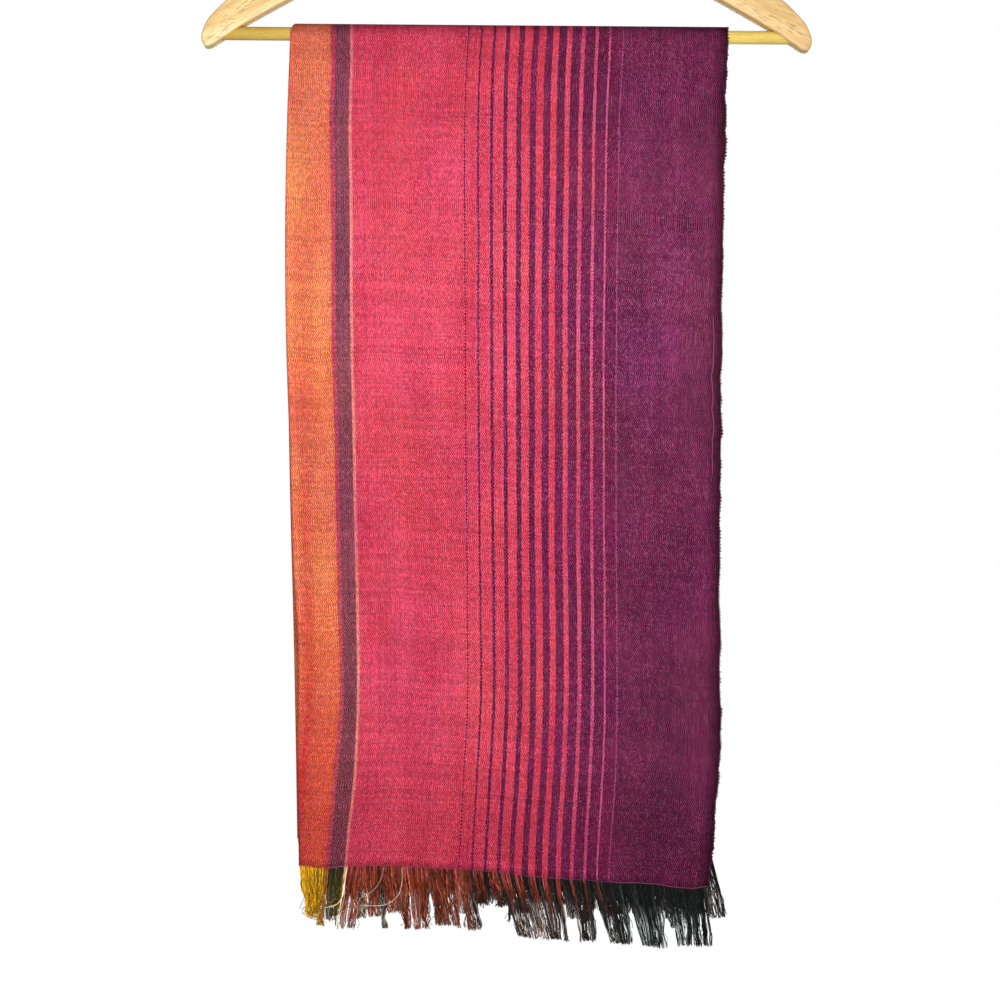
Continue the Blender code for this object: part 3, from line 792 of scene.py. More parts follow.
def shawlMaterial(bands, weave):
    # the colour of the thread on top at each crossing, then the brightness of threads and dye, with painted
    # shade between the threads, along the cloth and over the bar, and painted light at the fold
    made, tree, shader = newMaterial("handwoven cotton")
    place = weavePlace(tree)
    split = xyz(tree, place)
    across, along = split["X"], split["Y"]
    cloth = useGroup(tree, weave, {"Across": across, "Along": along})
    band = useGroup(tree, bands, {"Across": cloth["Across"]})
    height = xyz(tree, objectPlace(tree))["Z"]
    thread = calc(tree, "ABSOLUTE", band["Thread"])
    noises = {}
    for name, values in shawlFinish["noises"].items():
        noises[name] = drawnNoise(tree, (across, along), *values)

    def ranged(value, name):
        return remap(tree, value, *shawlFinish[name])

    # near the hem and in the long crease beside the fold the gold warp turns redder
    fromCrease = calc(tree, "ABSOLUTE", calc(tree, "SUBTRACT", thread, shawlFinish["creaseThread"]))
    crease = product(tree, ranged(fromCrease, "creaseRed"), ranged(along, "creaseAlong"))
    redder = product(tree, calc(tree, "ADD", ranged(along, "hemRed"), crease), band["Gold"])
    low = 1 - shawlFinish["weftShare"]
    share = calc(tree, "MULTIPLY_ADD", cloth["Warp On Top"], 2 * low - 1, 1 - low)
    wide = product(tree, calc(tree, "SUBTRACT", noises["wide"], 0.5), shawlFinish["shareChange"])
    share = calc(tree, "ADD", calc(tree, "ADD", share, wide), redder, clamp=True)
    colour = mixColour(tree, share, band["Warp"], band["Weft"])
    patch = ranged(noises["patch"], "tint")
    colour = tinted(tree, colour, mixColour(tree, patch, shawlFinish["warmTint"], shawlFinish["coolTint"]))
    onWeft = calc(tree, "MULTIPLY_ADD", cloth["Warp On Top"], -shawlFinish["fleckOffWarp"], 1.0)
    fleck = product(tree, ranged(cloth["Fleck"], "fleck"), onWeft, ranged(thread, "fleckAtEdge"))
    colour = mixColour(tree, fleck, colour, srgb(*shawlFinish["fleckColour"]))

    # painted shade along the cloth, darker towards the hem and near the top; where it is darker, green and
    # blue fall off faster than red
    stops = [(part, (value, value**1.9, value**1.35, 1.0)) for part, value in shawlFinish["depth"]]
    colour = tinted(tree, colour, ramp(tree, calc(tree, "DIVIDE", along, shawlFinish["paintedShadeLength"]), stops))
    notPurple = calc(tree, "LESS_THAN", thread, lineThreads["purple"] - 0.5)
    light = product(
        tree,
        around(tree, cloth["Crossing"], shawlFinish["grain"]),
        around(tree, cloth["Pick"], shawlFinish["pick"]),
        around(tree, cloth["Warp Thread"], shawlFinish["warpThread"]),
        around(tree, noises["streak"], shawlFinish["warpStreak"]),
        around(tree, noises["slub"], shawlFinish["weftSlub"]),
        around(tree, noises["mottle"], shawlFinish["mottle"]),
        around(tree, noises["blotch"], shawlFinish["dyeBlotch"]),
        ranged(cloth["Height"], "paintedGapShade"),
        ranged(thread, "edgeShade"),
        ranged(thread, "foldLight"),
        shawlFinish["level"],
        calc(tree, "MAXIMUM", ranged(along, "purpleHemShade"), notPurple),
        ranged(height, "barShade"),
    )
    fibreScale, fibreHeight = shawlFinish["fibre"]
    raised = calc(tree, "MULTIPLY_ADD", noise(tree, place, fibreScale), fibreHeight, cloth["Height"])
    addBump(tree, shader, shawlFinish["bump"], shawlFinish["bumpDepth"], raised)
    tree.links.new(tinted(tree, colour, grey(tree, light)), shader["Base Color"])
    tree.links.new(ranged(noises["slub"], "roughness"), shader["Roughness"])
    shader["Sheen Weight"].default_value = shawlFinish["sheen"]
    shader["Sheen Roughness"].default_value = 0.5
    shader["Specular IOR Level"].default_value = 0.06
    return made


fringeFinish = {
    # brightness change by thread and by fleck, brightness as a whole and at the root, where it is painted
    # shade, cover of the pale colour, and the most that dyed roots, worn tips with painted highlights, glints
    # and the cooler pale highlight cover
    "loose": {"change": 0.75, "fleck": 0.5, "lift": 1.0, "root": 0.6, "pale": 0.0,
              "dyed": 0.7, "worn": 0.95, "shine": 0.8, "cool": 1.0, "paleColour": (242, 222, 208)},
    "weft": {"change": 0.1, "fleck": 0.8, "lift": 0.9, "root": 1.0, "pale": 0.14,
             "dyed": 0.0, "worn": 0.0, "shine": 0.0, "cool": 0.0, "paleColour": (244, 168, 196)},
    "turn": {"change": 0.3, "fleck": 0.6, "lift": 0.8, "root": 1.0, "pale": 0.8,
             "dyed": 0.0, "worn": 0.0, "shine": 0.0, "cool": 0.0, "paleColour": (26, 9, 20)},
    # the cooler pale of the painted highlights on the dark fringe's tips
    "coolHighlightColour": (216, 228, 228),
    "tipColour": (44, 34, 32),
    "tip": 0.86,
    "threadWidth": 0.21 * mm,     # how far apart two threads differ in dye, wear and glint
    "flecks": (4000.0, 260.0),    # noise scales across and along
    "groups": (90.0, 20.0),
    # ranges: from the hem in m, across the cloth in threads, and of the noises
    "rootShadeAlong": (0.0, 0.011),
    "dyedAlong": (0.002, 0.013),
    "dyedThreads": (0.68, 0.88),
    "tipAlong": (0.010, 0.024),
    "wearAndHighlightAlong": (0.016, 0.034),
    "wearAndHighlightGroups": (0.40, 0.58),
    "plainThreads": (0.22, 0.42),
    "glintThreads": (0.45, 1.0),
    "glintFlecks": (0.34, 0.58),
    "stripedAcross": (170.0, 190.0),
    "wearAndHighlightAcross": (130.0, 240.0),
    "coolHighlightAcross": (250.0, 330.0),
}


def threadMaterial(name, bands, colour, kind):
    # a loose thread's colour by its place across: some are dyed at the root, worn pale at the tip with
    # painted highlights, or glint, and painted shade darkens them near the root
    made, tree, shader = newMaterial(name)
    values = fringeFinish[kind]
    split = xyz(tree, weavePlace(tree))
    across, along = split["X"], split["Y"]
    band = useGroup(tree, bands, {"Across": across})
    thread = band["Thread"]
    single = calc(tree, "FLOOR", calc(tree, "DIVIDE", across, fringeFinish["threadWidth"]))
    each, other = whiteNoise(tree, single), whiteNoise(tree, single, 3.0)
    fleck = drawnNoise(tree, (across, along), fringeFinish["flecks"])
    group = drawnNoise(tree, (across, along), fringeFinish["groups"])

    def ranged(value, name, low=0.0, high=1.0):
        return remap(tree, value, *fringeFinish[name], low, high)

    notGold = calc(tree, "SUBTRACT", 1.0, band["Gold"])
    notPurple = calc(tree, "LESS_THAN", thread, lineThreads["purple"] - 0.5)
    striped = product(tree, ranged(thread, "stripedAcross"), notPurple)
    dyed = product(tree, ranged(along, "dyedAlong", values["dyed"], 0.0), ranged(each, "dyedThreads"),
                   notGold, calc(tree, "MULTIPLY_ADD", striped, 0.4, 0.6))
    tip = product(tree, ranged(along, "tipAlong", 0.0, fringeFinish["tip"]), striped)
    glint = product(tree, ranged(other, "glintThreads", 0.0, values["shine"]), ranged(fleck, "glintFlecks"))
    # pale tips on some threads, partly worn and partly painted highlights
    worn = product(tree, ranged(along, "wearAndHighlightAlong", 0.0, values["worn"]), ranged(group, "wearAndHighlightGroups"),
                   ranged(other, "plainThreads", 1.0, 0.0), notGold, ranged(thread, "wearAndHighlightAcross", 0.45, 1.0))
    paleColour = mixColour(tree, ranged(thread, "coolHighlightAcross", 0.0, values["cool"]),
                           srgb(*values["paleColour"]), srgb(*fringeFinish["coolHighlightColour"]))
    shown = mixColour(tree, glint, band[colour], band["Light"])
    shown = mixColour(tree, tip, shown, srgb(*fringeFinish["tipColour"]))
    shown = mixColour(tree, dyed, shown, band["Warp"])
    shown = mixColour(tree, calc(tree, "ADD", worn, values["pale"]), shown, paleColour)
    # painted shade near the root, under the hem, but not on the gold
    root = calc(tree, "MAXIMUM", ranged(along, "rootShadeAlong", values["root"], 1.0), band["Gold"])
    light = product(tree, around(tree, each, values["change"]), around(tree, fleck, values["fleck"]),
                    values["lift"], root, around(tree, group, values["change"]))
    tree.links.new(tinted(tree, shown, grey(tree, light)), shader["Base Color"])
    tree.links.new(remap(tree, fleck, 0.2, 0.8, 0.6, 0.85), shader["Roughness"])
    shader["Specular IOR Level"].default_value = 0.2
    return made


# The fringe's threads, and its clumps: where the roots begin, where the tips lie, how far below the bar they
# end, all in mm, and how much the threads curl

fringeForm = {
    "warpThreads": 438,           # by layer
    "fibres": 1080,               # finer stray plies, by layer
    "threadRadius": 0.42 * mm,
    "fibreRadius": 0.27 * mm,
    "threadWaver": 0.8,
    "fibreWaver": 1.5,
    "steps": 15,
    "sides": 3,
    "span": {"outer": (0.003, 0.4975), "inner": (0.5025, 0.997)},       # of the cloth's width
    "innerReach": 0.2 * mm,       # how far the inner layer's fringe may come towards the outer layer
    "missing": 60.5,              # the warp threads beside this one are lost but for the cream stray threads
    "missingReach": 1.7,
    "inHem": 1.0 * mm,            # how far a thread starts inside the hem
    "inCloth": 0.34 * mm,         # how far from the cloth's middle it may start
    "drawn": 0.52,                # how far a strand's threads close up on each other at the tips
    "strand": (3, 10),            # a strand has 3 to 9 threads
    "tipSpread": 0.35 * mm,
    "endSpread": 1.1 * mm,
    "lean": 1.0 * mm,
    "ownWave": 0.24 * mm,         # a thread's waver sideways and outwards, and its strand's
    "ownDepth": 0.36 * mm,
    "strandWave": 0.62 * mm,
    "strandDepth": 0.7 * mm,
    "unruly": 0.06,               # of the threads, which waver four times as much
    "shorter": 0.022,             # how much lengths differ
    "broken": 0.07,               # of the threads, which end early
}
clumpNames = ("root", "tipLeft", "tipRight", "ends", "curl")
fringeClumps = {
    "outer": table(
        clumpNames,
        (-160, -146, -134, 644, 1.9),
        (-134, -133.5, -128.5, 650, 1.9),
        (-124, -127, -119.5, 646, 0.9),
        (-113, -118.7, -104.8, 652, 1.25),
        (-100, -96, -86.6, 643, 1.25),
        (-87.5, -82, -73, 641, 1.25),
        (-76, -70, -64.5, 652.5, 1.25),
        (-68, -61.5, -58.5, 652.5, 1.25),
        (-62, -56.5, -51.5, 652, 1.25),
        (-54, -44.5, -36, 649, 1.25),
        (-42, -35, -29, 650.5, 1.25),
        (-32, -24, -15, 652.8, 1.25),
        (-18, -13.5, -8.4, 635, 1.25),
        (-11, -2, 2.6, 636, 1.25),
        (-3, 13, 24, 658, 1.25),
        (12, 25, 36.5, 659, 1.25),
        (27, 37.6, 45, 658.7, 0.9),
        (39, 47.5, 49.5, 659.4, 0.9),
        (44, 51.5, 58.5, 643.5, 0.9),
        (51, 59.6, 70.5, 659.5, 0.9),
        (66, 80.7, 88, 661, 0.9),
        (77, 88, 97, 662.5, 0.9),
        (90, 103.4, 112, 664, 0.9),
        (103, 112, 121, 664.5, 0.9),
        (116, 124, 130, 650, 0.9),
        (123, 128, 142, 662.5, 0.9),
        (138, 142, 155, 663, 0.9),
    ),
    "inner": table(
        clumpNames,
        (-160, -143, -131, 640, 0.9),
        (-126, -124, -116, 643, 0.9),
        (-112, -106, -96.5, 645, 1.25),
        (-98, -90, -86, 638, 1.25),
        (-88, -85, -82.5, 653, 1.25),
        (-82, -76, -66, 640, 1.25),
        (-66, -62, -52, 642, 1.25),
        (-50, -47, -38, 650, 1.25),
        (-38, -33, -20, 641, 1.25),
        (-20, -16, -6, 634, 1.25),
        (-8, -2, 4, 636, 1.25),
        (4, 6, 8, 648, 1.25),
        (8, 14, 28, 640, 1.25),
        (26, 34, 46, 641, 0.9),
        (42, 50, 60, 643, 0.9),
        (58, 64, 80, 638, 0.9),
        (76, 82, 98, 641, 0.9),
        (94, 102, 120, 640, 0.9),
        (114, 121, 139, 643, 0.9),
        (133, 140, 150, 640, 0.9),
        (140, 153, 165, 643, 0.9),
    ),
}

unseenForm = {                    # of the back end's clumps, in mm
    "hem": {"outer": (589, 575), "inner": (589, 601)},    # its left and right end, below the bar
    "start": -172,
    "end": 152,
    "count": 24,
    "width": (9, 21),
    "lean": (-3, 6),
    "length": (36, 44),
    "curl": (0.8, 1.5),
}


def unseenClumps(layer, seed):
    # clumps of uneven width, lean and length below a hem that slopes evenly from left to right
    rng = np.random.default_rng(seed)
    leftHem, rightHem = unseenForm["hem"][layer]
    starts = unseenForm["start"] + np.cumsum(rng.uniform(*unseenForm["width"], unseenForm["count"]))
    rows = []
    for start, after in zip(starts[:-1], starts[1:]):
        lean = rng.uniform(*unseenForm["lean"])
        hem = leftHem + (rightHem - leftHem) * (start + 150) / 300
        ends = hem + rng.uniform(*unseenForm["length"])
        curl = rng.uniform(*unseenForm["curl"])
        rows.append((start, start + lean + 1.5, after + lean - 3.5, ends, curl))
    made = [row for row in table(clumpNames, *rows) if row["root"] < unseenForm["end"]]
    made[0]["root"] = -170
    return made


def ringUv(warp, along, sides):
    # one place in the weave for every point of a thread's ring
    uv = np.stack(np.broadcast_arrays(warp, along), axis=-1).reshape(-1, 2)
    return np.repeat(uv, sides, axis=0)


def hangingThreads(end, layer, rows, count, radius, waver, seed):
    # roots along the hem; each strand of a few threads eases to its own place between its clump's tips and
    # wavers about that line, and its threads close up on it and thin out
    rng = np.random.default_rng(seed)
    low, high = fringeForm["span"][layer]
    across = low + (high - low) * (np.arange(count) + rng.uniform(0.1, 0.9, count)) / count
    warp = warpPlace(across, np.full(count, clothForm["length"] if end == "back" else 0.0))
    fromMissing = np.abs(np.abs(warp) / stripePlan["pitch"] - fringeForm["missing"])
    across = across[fromMissing > fringeForm["missingReach"]]
    count = len(across)
    inHem = fringeForm["inHem"]
    along = np.full(count, inHem if end == "front" else clothForm["length"] - inHem)
    root = clothPoints(across, along, rng.uniform(-1, 1, count) * fringeForm["inCloth"])

    strandEnds = np.cumsum(rng.integers(*fringeForm["strand"], count))
    strand = np.searchsorted(strandEnds, np.arange(count), side="right")
    middle = np.bincount(strand, root[:, 0]) / np.bincount(strand)
    starts = np.array([row["root"] for row in rows]) * mm
    after = np.append(starts[1:], root[:, 0].max())
    clump = np.clip(np.searchsorted(starts, middle) - 1, 0, len(rows) - 1)

    def ofClump(name):
        return np.array([row[name] for row in rows])[clump]

    left, right, ends = (ofClump(name) * mm for name in ("tipLeft", "tipRight", "ends"))
    curl = ofClump("curl")[:, None]
    share = np.clip((middle - starts[clump]) / (after[clump] - starts[clump]), 0, 1)
    strands = len(middle)
    tips = left + share * (right - left) + rng.normal(0, 1, strands) * fringeForm["tipSpread"]
    ends = ends - np.abs(rng.normal(0, 1, strands)) * fringeForm["endSpread"]

    t = np.linspace(0, 1, fringeForm["steps"] + 1)[None, :]
    ease = t**1.3 * (1.5 - 0.5 * t)

    def waves(number, height):
        # two sines of unlike lengths for each row, flat at the root
        total = 0
        for place in range(2):
            turns = rng.uniform(0.6, 3.4, number)[:, None]
            phase = rng.uniform(0, 2 * math.pi, number)[:, None]
            size = rng.gamma(2.0, 0.5, number)[:, None] * height / (1 + place)
            rise = np.sin(2 * math.pi * turns * t + phase) - np.sin(phase) * (1 - t)
            total = total + size * t**0.9 * rise
        return total

    ownWave = waves(count, waver * fringeForm["ownWave"])
    ownDepth = waves(count, waver * fringeForm["ownDepth"])
    unruly = (rng.random(count) < waver * fringeForm["unruly"])[:, None]
    ownWave = np.where(unruly, 4 * ownWave, ownWave) * curl[strand]
    strandWave = waves(strands, fringeForm["strandWave"]) * curl
    strandDepth = waves(strands, fringeForm["strandDepth"]) * curl
    lean = rng.normal(0, 1, strands)[:, None] * fringeForm["lean"] * t**1.3
    centre = middle[:, None] + (tips - middle)[:, None] * ease + strandWave
    closing = (root[:, 0] - middle[strand])[:, None] * (1 - fringeForm["drawn"] * ease)
    x = centre[strand] + closing + ownWave
    depth = (lean + strandDepth)[strand] + ownDepth
    outward = -1 if end == "front" else 1
    if layer == "inner":
        depth = outward * np.minimum(outward * depth, fringeForm["innerReach"])
    y = root[:, 1:2] + depth
    uneven = np.abs(rng.normal(0, fringeForm["shorter"], count))
    broken = (rng.random(count) < fringeForm["broken"]) * rng.uniform(0.05, 0.35, count)
    lengths = (-clothForm["barDrop"] - ends[strand] - root[:, 2]) * np.clip(1 - uneven - broken, 0.5, 1.0)
    z = root[:, 2:3] + lengths[:, None] * t
    thin = radius * rng.uniform(0.75, 1.2, count)[:, None] * (1 - 0.15 * t**3)
    points, faces = tubes(np.stack([x, y, z], axis=-1), thin, fringeForm["sides"], (0, 1, 0.03))
    warp = warpPlace(across, np.where(along > clothForm["length"] / 2, clothForm["length"], 0.0))
    return points, faces, ringUv(warp[:, None], -t * lengths[:, None], fringeForm["sides"])


def joined(parts):
    # several sets of points, faces and uv as one
    points, uv, faceSets, offset = [], [], {}, 0
    for partPoints, partFaces, partUv in parts:
        points.append(partPoints)
        uv.append(partUv)
        for faces in partFaces:
            faceSets.setdefault(faces.shape[1], []).append(faces + offset)
        offset += len(partPoints)
    return np.concatenate(points), [np.concatenate(found) for found in faceSets.values()], np.concatenate(uv)


def fringePiece(name, end, layer, rows, seed, finish):
    # warp threads and finer fibres, with draws of their own
    kinds = (("warpThreads", "threadRadius", "threadWaver"), ("fibres", "fibreRadius", "fibreWaver"))
    parts = []
    for draw, (count, radius, waver) in enumerate(kinds):
        values = (fringeForm[count], fringeForm[radius], fringeForm[waver])
        parts.append(hangingThreads(end, layer, rows, *values, seed + draw))
    return meshFrom(name, *joined(parts), finish)


# Threads that stray across the fringe: points below the bar and outwards from the cloth, in mm

strayThreads = table(
    ("across", "radius", "points"),
    (0.4412, 0.26, ((-112.2, 606, 1), (-111.6, 614, 9), (-112.6, 624, 11), (-117, 631, 12),
                    (-125.5, 634, 11))),
    (0.4410, 0.18, ((-112.8, 606, 1), (-111.9, 622, 9), (-112.6, 630, 10), (-116, 638, 10),
                    (-121.4, 645, 9))),
    (0.4411, 0.16, ((-71, 606, 0.8), (-70.6, 614, 6), (-72.2, 623, 8), (-78, 629.5, 9), (-86, 632.5, 9),
                    (-100.5, 632.5, 8))),
    (0.4409, 0.13, ((-84, 606, 0.8), (-86, 614, 6), (-91.5, 622, 8), (-99, 626, 8), (-103, 632, 7))),
    (0.487, 0.26, ((-141, 604, 1), (-138, 618, 6), (-131, 627, 8), (-123, 631, 8), (-118, 628, 7))),
    (0.477, 0.24, ((-133, 604, 1), (-137, 616, 6), (-141.5, 628, 7), (-144.5, 636, 6))),
    (0.04, 0.24, ((131, 617, 1), (134, 632, 6), (141, 643, 7), (143, 655, 6))),
    (0.157, 0.24, ((60, 611, 1), (57, 628, 6), (63, 640, 7), (61, 655, 6))),
)
strayForm = {"steps": 32, "sides": 5, "along": (0.02, 0.05)}


def strayPiece(finish):
    # each thread is a smooth curve through its points
    parts = []
    steps, sides = strayForm["steps"], strayForm["sides"]
    pointNames = ("step", "x", "drop", "out")
    for row in strayThreads:
        knots = table(pointNames, *((step, *point) for step, point in enumerate(row["points"])))
        at = np.linspace(0, len(knots) - 1, steps) * mm
        x, drop, out = (curveThrough(knots, "step", name, at) for name in pointNames[1:])
        face = clothPoints(row["across"], 0.5 * mm, 0.0)
        path = np.stack([x, face[1] - out, -clothForm["barDrop"] - drop], axis=-1)[None]
        points, faces = tubes(path, np.full((1, steps), row["radius"] * mm), sides, (0, 1, 0.1))
        warp = warpPlace(np.array([row["across"]]), np.array([0.0]))[0]
        parts.append((points, faces, ringUv(warp, np.linspace(*strayForm["along"], steps), sides)))
    return meshFrom("strayThreads", *joined(parts), finish)


hemForm = {
    "radius": 0.17 * mm,
    "rise": 0.5 * mm,
    "outwards": 0.12 * mm,        # beyond the cloth's face
    "points": 700,
    "sides": 5,
    "float": (0.300, 0.415),      # along the cloth, a warp thread that the weft missed beside the selvedge
    "floatAcross": 0.0094,
    "floatPoints": 120,
}


def hemPiece(finish):
    # the last weft pick, a thicker thread along each hem on the cloth's outer face, and a floating warp thread
    across = np.linspace(0.001, 0.999, hemForm["points"])
    waver = (0.12 * np.sin(across * 900) + 0.18 * np.sin(across * 217 + 1)) * mm
    floatAlong = np.linspace(*hemForm["float"], hemForm["floatPoints"])
    floatAcross = hemForm["floatAcross"] + 0.0004 * np.sin(floatAlong * 310)
    routes = (
        (across, hemForm["rise"] + waver, (0.1, 0, 1)),
        (across, clothForm["length"] - hemForm["rise"] + waver, (0.1, 0, 1)),
        (floatAcross, floatAlong, (1, 0, 0)),
    )
    parts = []
    for across, along, reference in routes:
        path = clothPoints(across, along, clothForm["wall"] / 2 + hemForm["outwards"])[None]
        radii = np.full(path.shape[:2], hemForm["radius"])
        points, faces = tubes(path, radii, hemForm["sides"], reference)
        uv = ringUv(warpPlace(across, along), np.linspace(0, 0.6, len(across)), hemForm["sides"])
        parts.append((points, faces, uv))
    return meshFrom("hemThreads", *joined(parts), finish)


selvedgeForm = {                  # lengths in mm
    "out": 0.60,
    "inwards": 0.9,
    "radius": 0.42,
    "uneven": 0.15,
    "tall": 0.62,                 # half a loop's height, in picks
    "steps": 7,
    "sides": 5,
}


def selvedgePiece(finish):
    # where the weft turns back: half ellipses past each selvedge, one for every second pick, of uneven size
    parts = []
    rng = np.random.default_rng(41)
    step = 2 * stripePlan["weftPitch"]
    for across, side in ((0.0, 1), (1.0, -1)):
        along = np.arange(step, clothForm["length"] - step, step)
        count = len(along)
        turn = np.linspace(-0.5, 0.5, selvedgeForm["steps"] + 1)[None, :] * math.pi
        out = selvedgeForm["out"] * rng.uniform(0.5, 1.5, count)[:, None] * mm
        over = along[:, None] + np.sin(turn) * selvedgeForm["tall"] * stripePlan["weftPitch"]
        edge = clothPoints(np.full_like(over, across), over, 0.0)
        edge[..., 0] += np.cos(turn) * (out + selvedgeForm["inwards"] * mm) - selvedgeForm["inwards"] * mm
        edge[..., 1] += rng.uniform(-1, 1, count)[:, None] * selvedgeForm["uneven"] * mm
        radii = np.full(over.shape, selvedgeForm["radius"] * mm) * rng.uniform(0.8, 1.25, count)[:, None]
        points, faces = tubes(edge, radii, selvedgeForm["sides"], (0, 1, 0))
        warp = side * (stripePlan["selvedge"] - 0.5) * stripePlan["pitch"]
        parts.append((points, faces, ringUv(warp, over, selvedgeForm["sides"])))
    return meshFrom("selvedgeLoops", *joined(parts), finish)


# The hanger

smoothAngles = {"body": 26, "bar": 38, "hook": 50}        # in degrees


def smoothCopy(nodeName, newName, angle, finish):
    # the CAD node's own shape, merged and smooth shaded but for edges sharper than the angle
    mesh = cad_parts[nodeName].data.copy()
    mesh.name = newName
    work = bmesh.new()
    work.from_mesh(mesh)
    bmesh.ops.remove_doubles(work, verts=work.verts, dist=0.00001)
    bmesh.ops.dissolve_degenerate(work, edges=work.edges, dist=0.00001)
    work.to_mesh(mesh)
    work.free()
    mesh.materials.clear()
    mesh.materials.append(finish)
    mesh.shade_smooth()
    mesh.set_sharp_from_angle(angle=math.radians(angle))
    made = bpy.data.objects.new(newName, mesh)
    bpy.context.scene.collection.objects.link(made)
    return made


woodFinish = {
    # tones of the grain, its slope from level in degrees, how dark the pores are, and a tint at each end
    "arm": {"pale": (252, 226, 162), "deep": (224, 180, 112), "pore": (150, 102, 58), "slope": 28.5,
            "pores": 0.8, "left": (1.0, 1.0, 1.0, 1.0), "right": (0.82, 0.76, 0.67, 1.0)},
    "bar": {"pale": (255, 236, 140), "deep": (252, 210, 104), "pore": (186, 130, 50), "slope": 0.0,
            "pores": 0.45, "left": (0.86, 0.76, 0.56, 1.0), "right": (1.0, 1.0, 0.9, 1.0)},
    # noise scales along and across the wood, and detail
    "band": (14.0, 150.0, 3.0),
    "line": (30.0, 1100.0, 2.0),
    "pore": (120.0, 1250.0, 1.0),
    "reach": 0.22,                # from the middle to where the tints are whole
    "otherArm": 0.37,             # how far off in the grain the left arm lies from the right one
}


def grainGroup():
    # grain drawn out along the wood: broad bands, fine lines, and short dark pores where a fine noise is high
    outputs = {"Float": ("Band", "Pore", "Height")}
    tree, given, result = newGroup("wood grain", ["Along", "Across", "Depth", "Pores"], outputs)

    def drawn(name):
        along, across, detail = woodFinish[name]
        places = (given["Along"], given["Across"], given["Depth"])
        return drawnNoise(tree, places, (along, across, across), 0.0, detail, 0.6)

    band = drawn("band")
    line = drawn("line")
    high = remap(tree, drawn("pore"), 0.53, 0.66, 0.0, 1.0)
    pore = product(tree, high, remap(tree, band, 0.4, 0.62, 0.25, 1.0), given["Pores"])
    linkAll(tree, {
        "Band": calc(tree, "ADD", product(tree, band, 0.7), product(tree, line, 0.3)),
        "Pore": pore,
        "Height": calc(tree, "SUBTRACT", product(tree, line, 0.4), pore),
    }, result)
    return tree


def woodMaterial(name, grain, values):
    # the grain follows each sloping arm, mirrored at the middle, or the bar
    made, tree, shader = newMaterial(name)
    split = xyz(tree, objectPlace(tree))
    slope = math.radians(values["slope"])
    side = calc(tree, "ABSOLUTE", split["X"]) if slope else split["X"]

    def turned(x, z):
        return calc(tree, "ADD", product(tree, side, x), product(tree, split["Z"], z))

    along = turned(math.cos(slope), -math.sin(slope))
    across = turned(math.sin(slope), math.cos(slope))
    along = calc(tree, "ADD", along, product(tree, calc(tree, "SIGN", split["X"]), woodFinish["otherArm"]))
    inputs = {"Along": along, "Across": across, "Depth": split["Y"], "Pores": values["pores"]}
    found = useGroup(tree, grain, inputs)
    band = remap(tree, found["Band"], 0.32, 0.68, 0.0, 1.0)
    colour = mixColour(tree, band, srgb(*values["deep"]), srgb(*values["pale"]))
    colour = mixColour(tree, found["Pore"], colour, srgb(*values["pore"]))
    place = remap(tree, split["X"], -woodFinish["reach"], woodFinish["reach"], 0.0, 1.0)
    colour = tinted(tree, colour, mixColour(tree, place, values["left"], values["right"]))
    addBump(tree, shader, 0.25, 0.15 * mm, found["Height"])
    tree.links.new(colour, shader["Base Color"])
    tree.links.new(remap(tree, found["Band"], 0.3, 0.7, 0.5, 0.36), shader["Roughness"])
    shader["Coat Weight"].default_value = 0.15
    shader["Coat Roughness"].default_value = 0.3
    return made


def steelMaterial():
    # drawn wire: fine marks that run down it, and a slow change of tone
    made, tree, shader = newMaterial("hook wire")
    place = objectPlace(tree)
    drawn = addNode(tree, "ShaderNodeMapping", None, {"Vector": place, "Scale": (900, 900, 90)}).outputs[0]
    marks = noise(tree, drawn, 1.0, 3.0)
    worn = noise(tree, place, 120.0, 3.0)
    colour = mixColour(tree, worn, srgb(196, 196, 198), srgb(226, 226, 228))
    tree.links.new(colour, shader["Base Color"])
    tree.links.new(remap(tree, marks, 0.3, 0.7, 0.2, 0.34), shader["Roughness"])
    addBump(tree, shader, 0.12, 0.05 * mm, marks)
    shader["Metallic"].default_value = 1.0
    return made


# Room, lights and camera

roomForm = {
    "ambient": 0.20,              # what the white room gives the object
    "background": 1.0,
    "floorDrop": 1.32,            # below the hook
    "floorSize": 3.0,
    "middle": (0.0, 0.0, -0.38),  # where the lights point
}
lightForm = {
    "frontKey": {"place": (-0.02, -0.95, -0.37), "size": 0.45, "power": 9.2},
    "frontFill": {"place": (0.9, -1.6, -0.1), "size": 1.2, "power": 7.5},
    "backFill": {"place": (0.3, 1.8, 0.3), "size": 1.4, "power": 21.0},
}
cameraForm = {
    "distance": 1.6,
    "x": -2.1 * mm,
    "belowBar": 339.4 * mm,       # the picture's middle
    "halfFrame": 365.4 * mm,
    "roll": -0.46,                # degrees; the photo's right side is a little lower
}


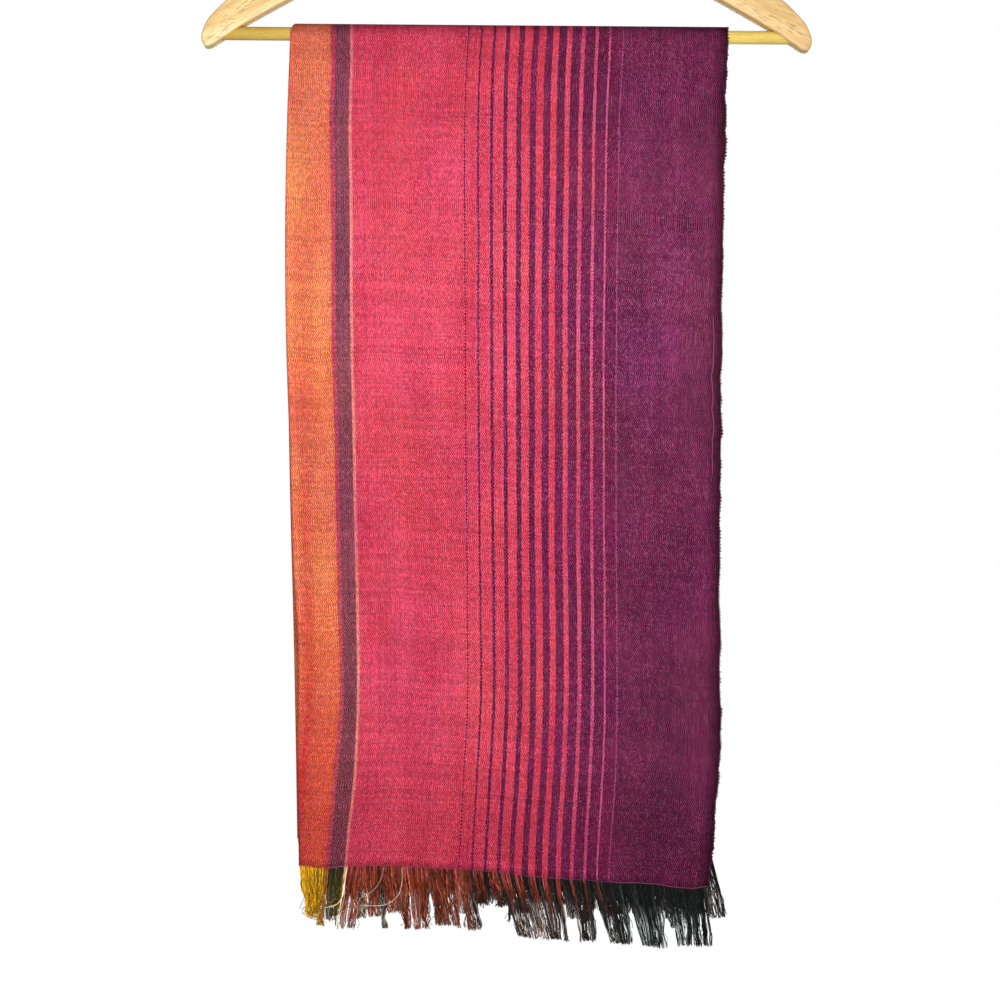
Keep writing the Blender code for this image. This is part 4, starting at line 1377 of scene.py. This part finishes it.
def makeRoom():
    # a world that is white to the camera and dimmer to the object, and a pale floor
    world = bpy.data.worlds.new("white room")
    bpy.context.scene.world = world
    world.use_nodes = True
    tree = world.node_tree
    tree.nodes.clear()
    white = (1, 1, 1, 1)
    seen = addNode(tree, "ShaderNodeBackground", None, {"Color": white, "Strength": roomForm["background"]})
    given = addNode(tree, "ShaderNodeBackground", None, {"Color": white, "Strength": roomForm["ambient"]})
    ray = addNode(tree, "ShaderNodeLightPath").outputs["Is Camera Ray"]
    mix = addNode(tree, "ShaderNodeMixShader", None, {0: ray, 1: given.outputs[0], 2: seen.outputs[0]})
    out = tree.nodes.new("ShaderNodeOutputWorld")
    tree.links.new(mix.outputs[0], out.inputs["Surface"])

    half = roomForm["floorSize"] / 2
    corners = np.array([(-half, -half), (half, -half), (half, half), (-half, half)])
    points = np.column_stack([corners, np.full(4, -roomForm["floorDrop"])])
    made, floorTree, shader = newMaterial("pale floor")
    speck = noise(floorTree, objectPlace(floorTree), 9.0, 4.0)
    tint = mixColour(floorTree, speck, srgb(236, 235, 232), srgb(243, 242, 240))
    floorTree.links.new(tint, shader["Base Color"])
    shader["Roughness"].default_value = 0.75
    floor = meshFrom("paleFloor", points, [np.array([[0, 1, 2, 3]])], finish=made, smooth=False)


def softLight(name, place, size, power):
    # a square light that faces the middle of the object
    data = bpy.data.lights.new(name, "AREA")
    data.shape = "RECTANGLE"
    data.size = size
    data.size_y = size
    data.energy = power
    made = bpy.data.objects.new(name, data)
    made.location = place
    direction = (np.array(roomForm["middle"]) - np.array(place)).tolist()
    made.rotation_euler = Vector(direction).to_track_quat("-Z", "Y").to_euler()
    made.visible_camera = False
    bpy.context.scene.collection.objects.link(made)


def makeCamera():
    # level before the cloth, with a lens that takes in the frame's half width on each side
    data = bpy.data.cameras.new("camera")
    data.sensor_width = 36.0
    data.lens = 18.0 * cameraForm["distance"] / cameraForm["halfFrame"]
    data.clip_start = 0.05
    made = bpy.data.objects.new("camera", data)
    height = -clothForm["barDrop"] - cameraForm["belowBar"]
    made.location = (cameraForm["x"], -cameraForm["distance"], height)
    made.rotation_euler = (math.pi / 2, math.radians(cameraForm["roll"]), 0)
    bpy.context.scene.collection.objects.link(made)
    bpy.context.scene.camera = made


makeRoom()
for name, values in lightForm.items():
    softLight(name, **values)
makeCamera()
bpy.context.scene.view_settings.view_transform = "Standard"
print("room, lights and camera made")

bands, weave, grain = bandGroup(), weaveGroup(), grainGroup()
clothFinish = shawlMaterial(bands, weave)
looseFinish = threadMaterial("loose warp threads", bands, "Loose", "loose")
weftFinish = threadMaterial("weft thread", bands, "Weft", "weft")
turnFinish = threadMaterial("weft turns", bands, "Weft", "turn")
woodArm = woodMaterial("pale wood arms", grain, woodFinish["arm"])
woodBar = woodMaterial("golden wood bar", grain, woodFinish["bar"])
wireFinish = steelMaterial()
print("materials made")

shawl = clothShell(clothFinish)
print("cloth made:", len(shawl.data.polygons), "faces")

fringes = [
    fringePiece("fringeFrontOuter", "front", "outer", fringeClumps["outer"], 11, looseFinish),
    fringePiece("fringeFrontInner", "front", "inner", fringeClumps["inner"], 13, looseFinish),
    fringePiece("fringeBackOuter", "back", "outer", unseenClumps("outer", 5), 17, looseFinish),
    fringePiece("fringeBackInner", "back", "inner", unseenClumps("inner", 6), 19, looseFinish),
]
stray = strayPiece(looseFinish)
hems = hemPiece(weftFinish)
loops = selvedgePiece(turnFinish)
print("fringes, hems and selvedges made")

hangerBody = smoothCopy("hanger_shoulders", "hangerBody", smoothAngles["body"], woodArm)
hangerBar = smoothCopy("hanger_bar", "hangerBar", smoothAngles["bar"], woodBar)
hangerHook = smoothCopy("hanger_hook", "hangerHook", smoothAngles["hook"], wireFinish)
print("hanger made")

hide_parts("shawl_front", "shawl_over_bar", "shawl_back")
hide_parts("fringe_front")
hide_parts("fringe_back")
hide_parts("hanger_shoulders")
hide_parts("hanger_bar")
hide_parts("hanger_hook")
for piece in (shawl, *fringes, stray, hems, loops, hangerBody, hangerBar, hangerHook):
    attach(piece, "root")
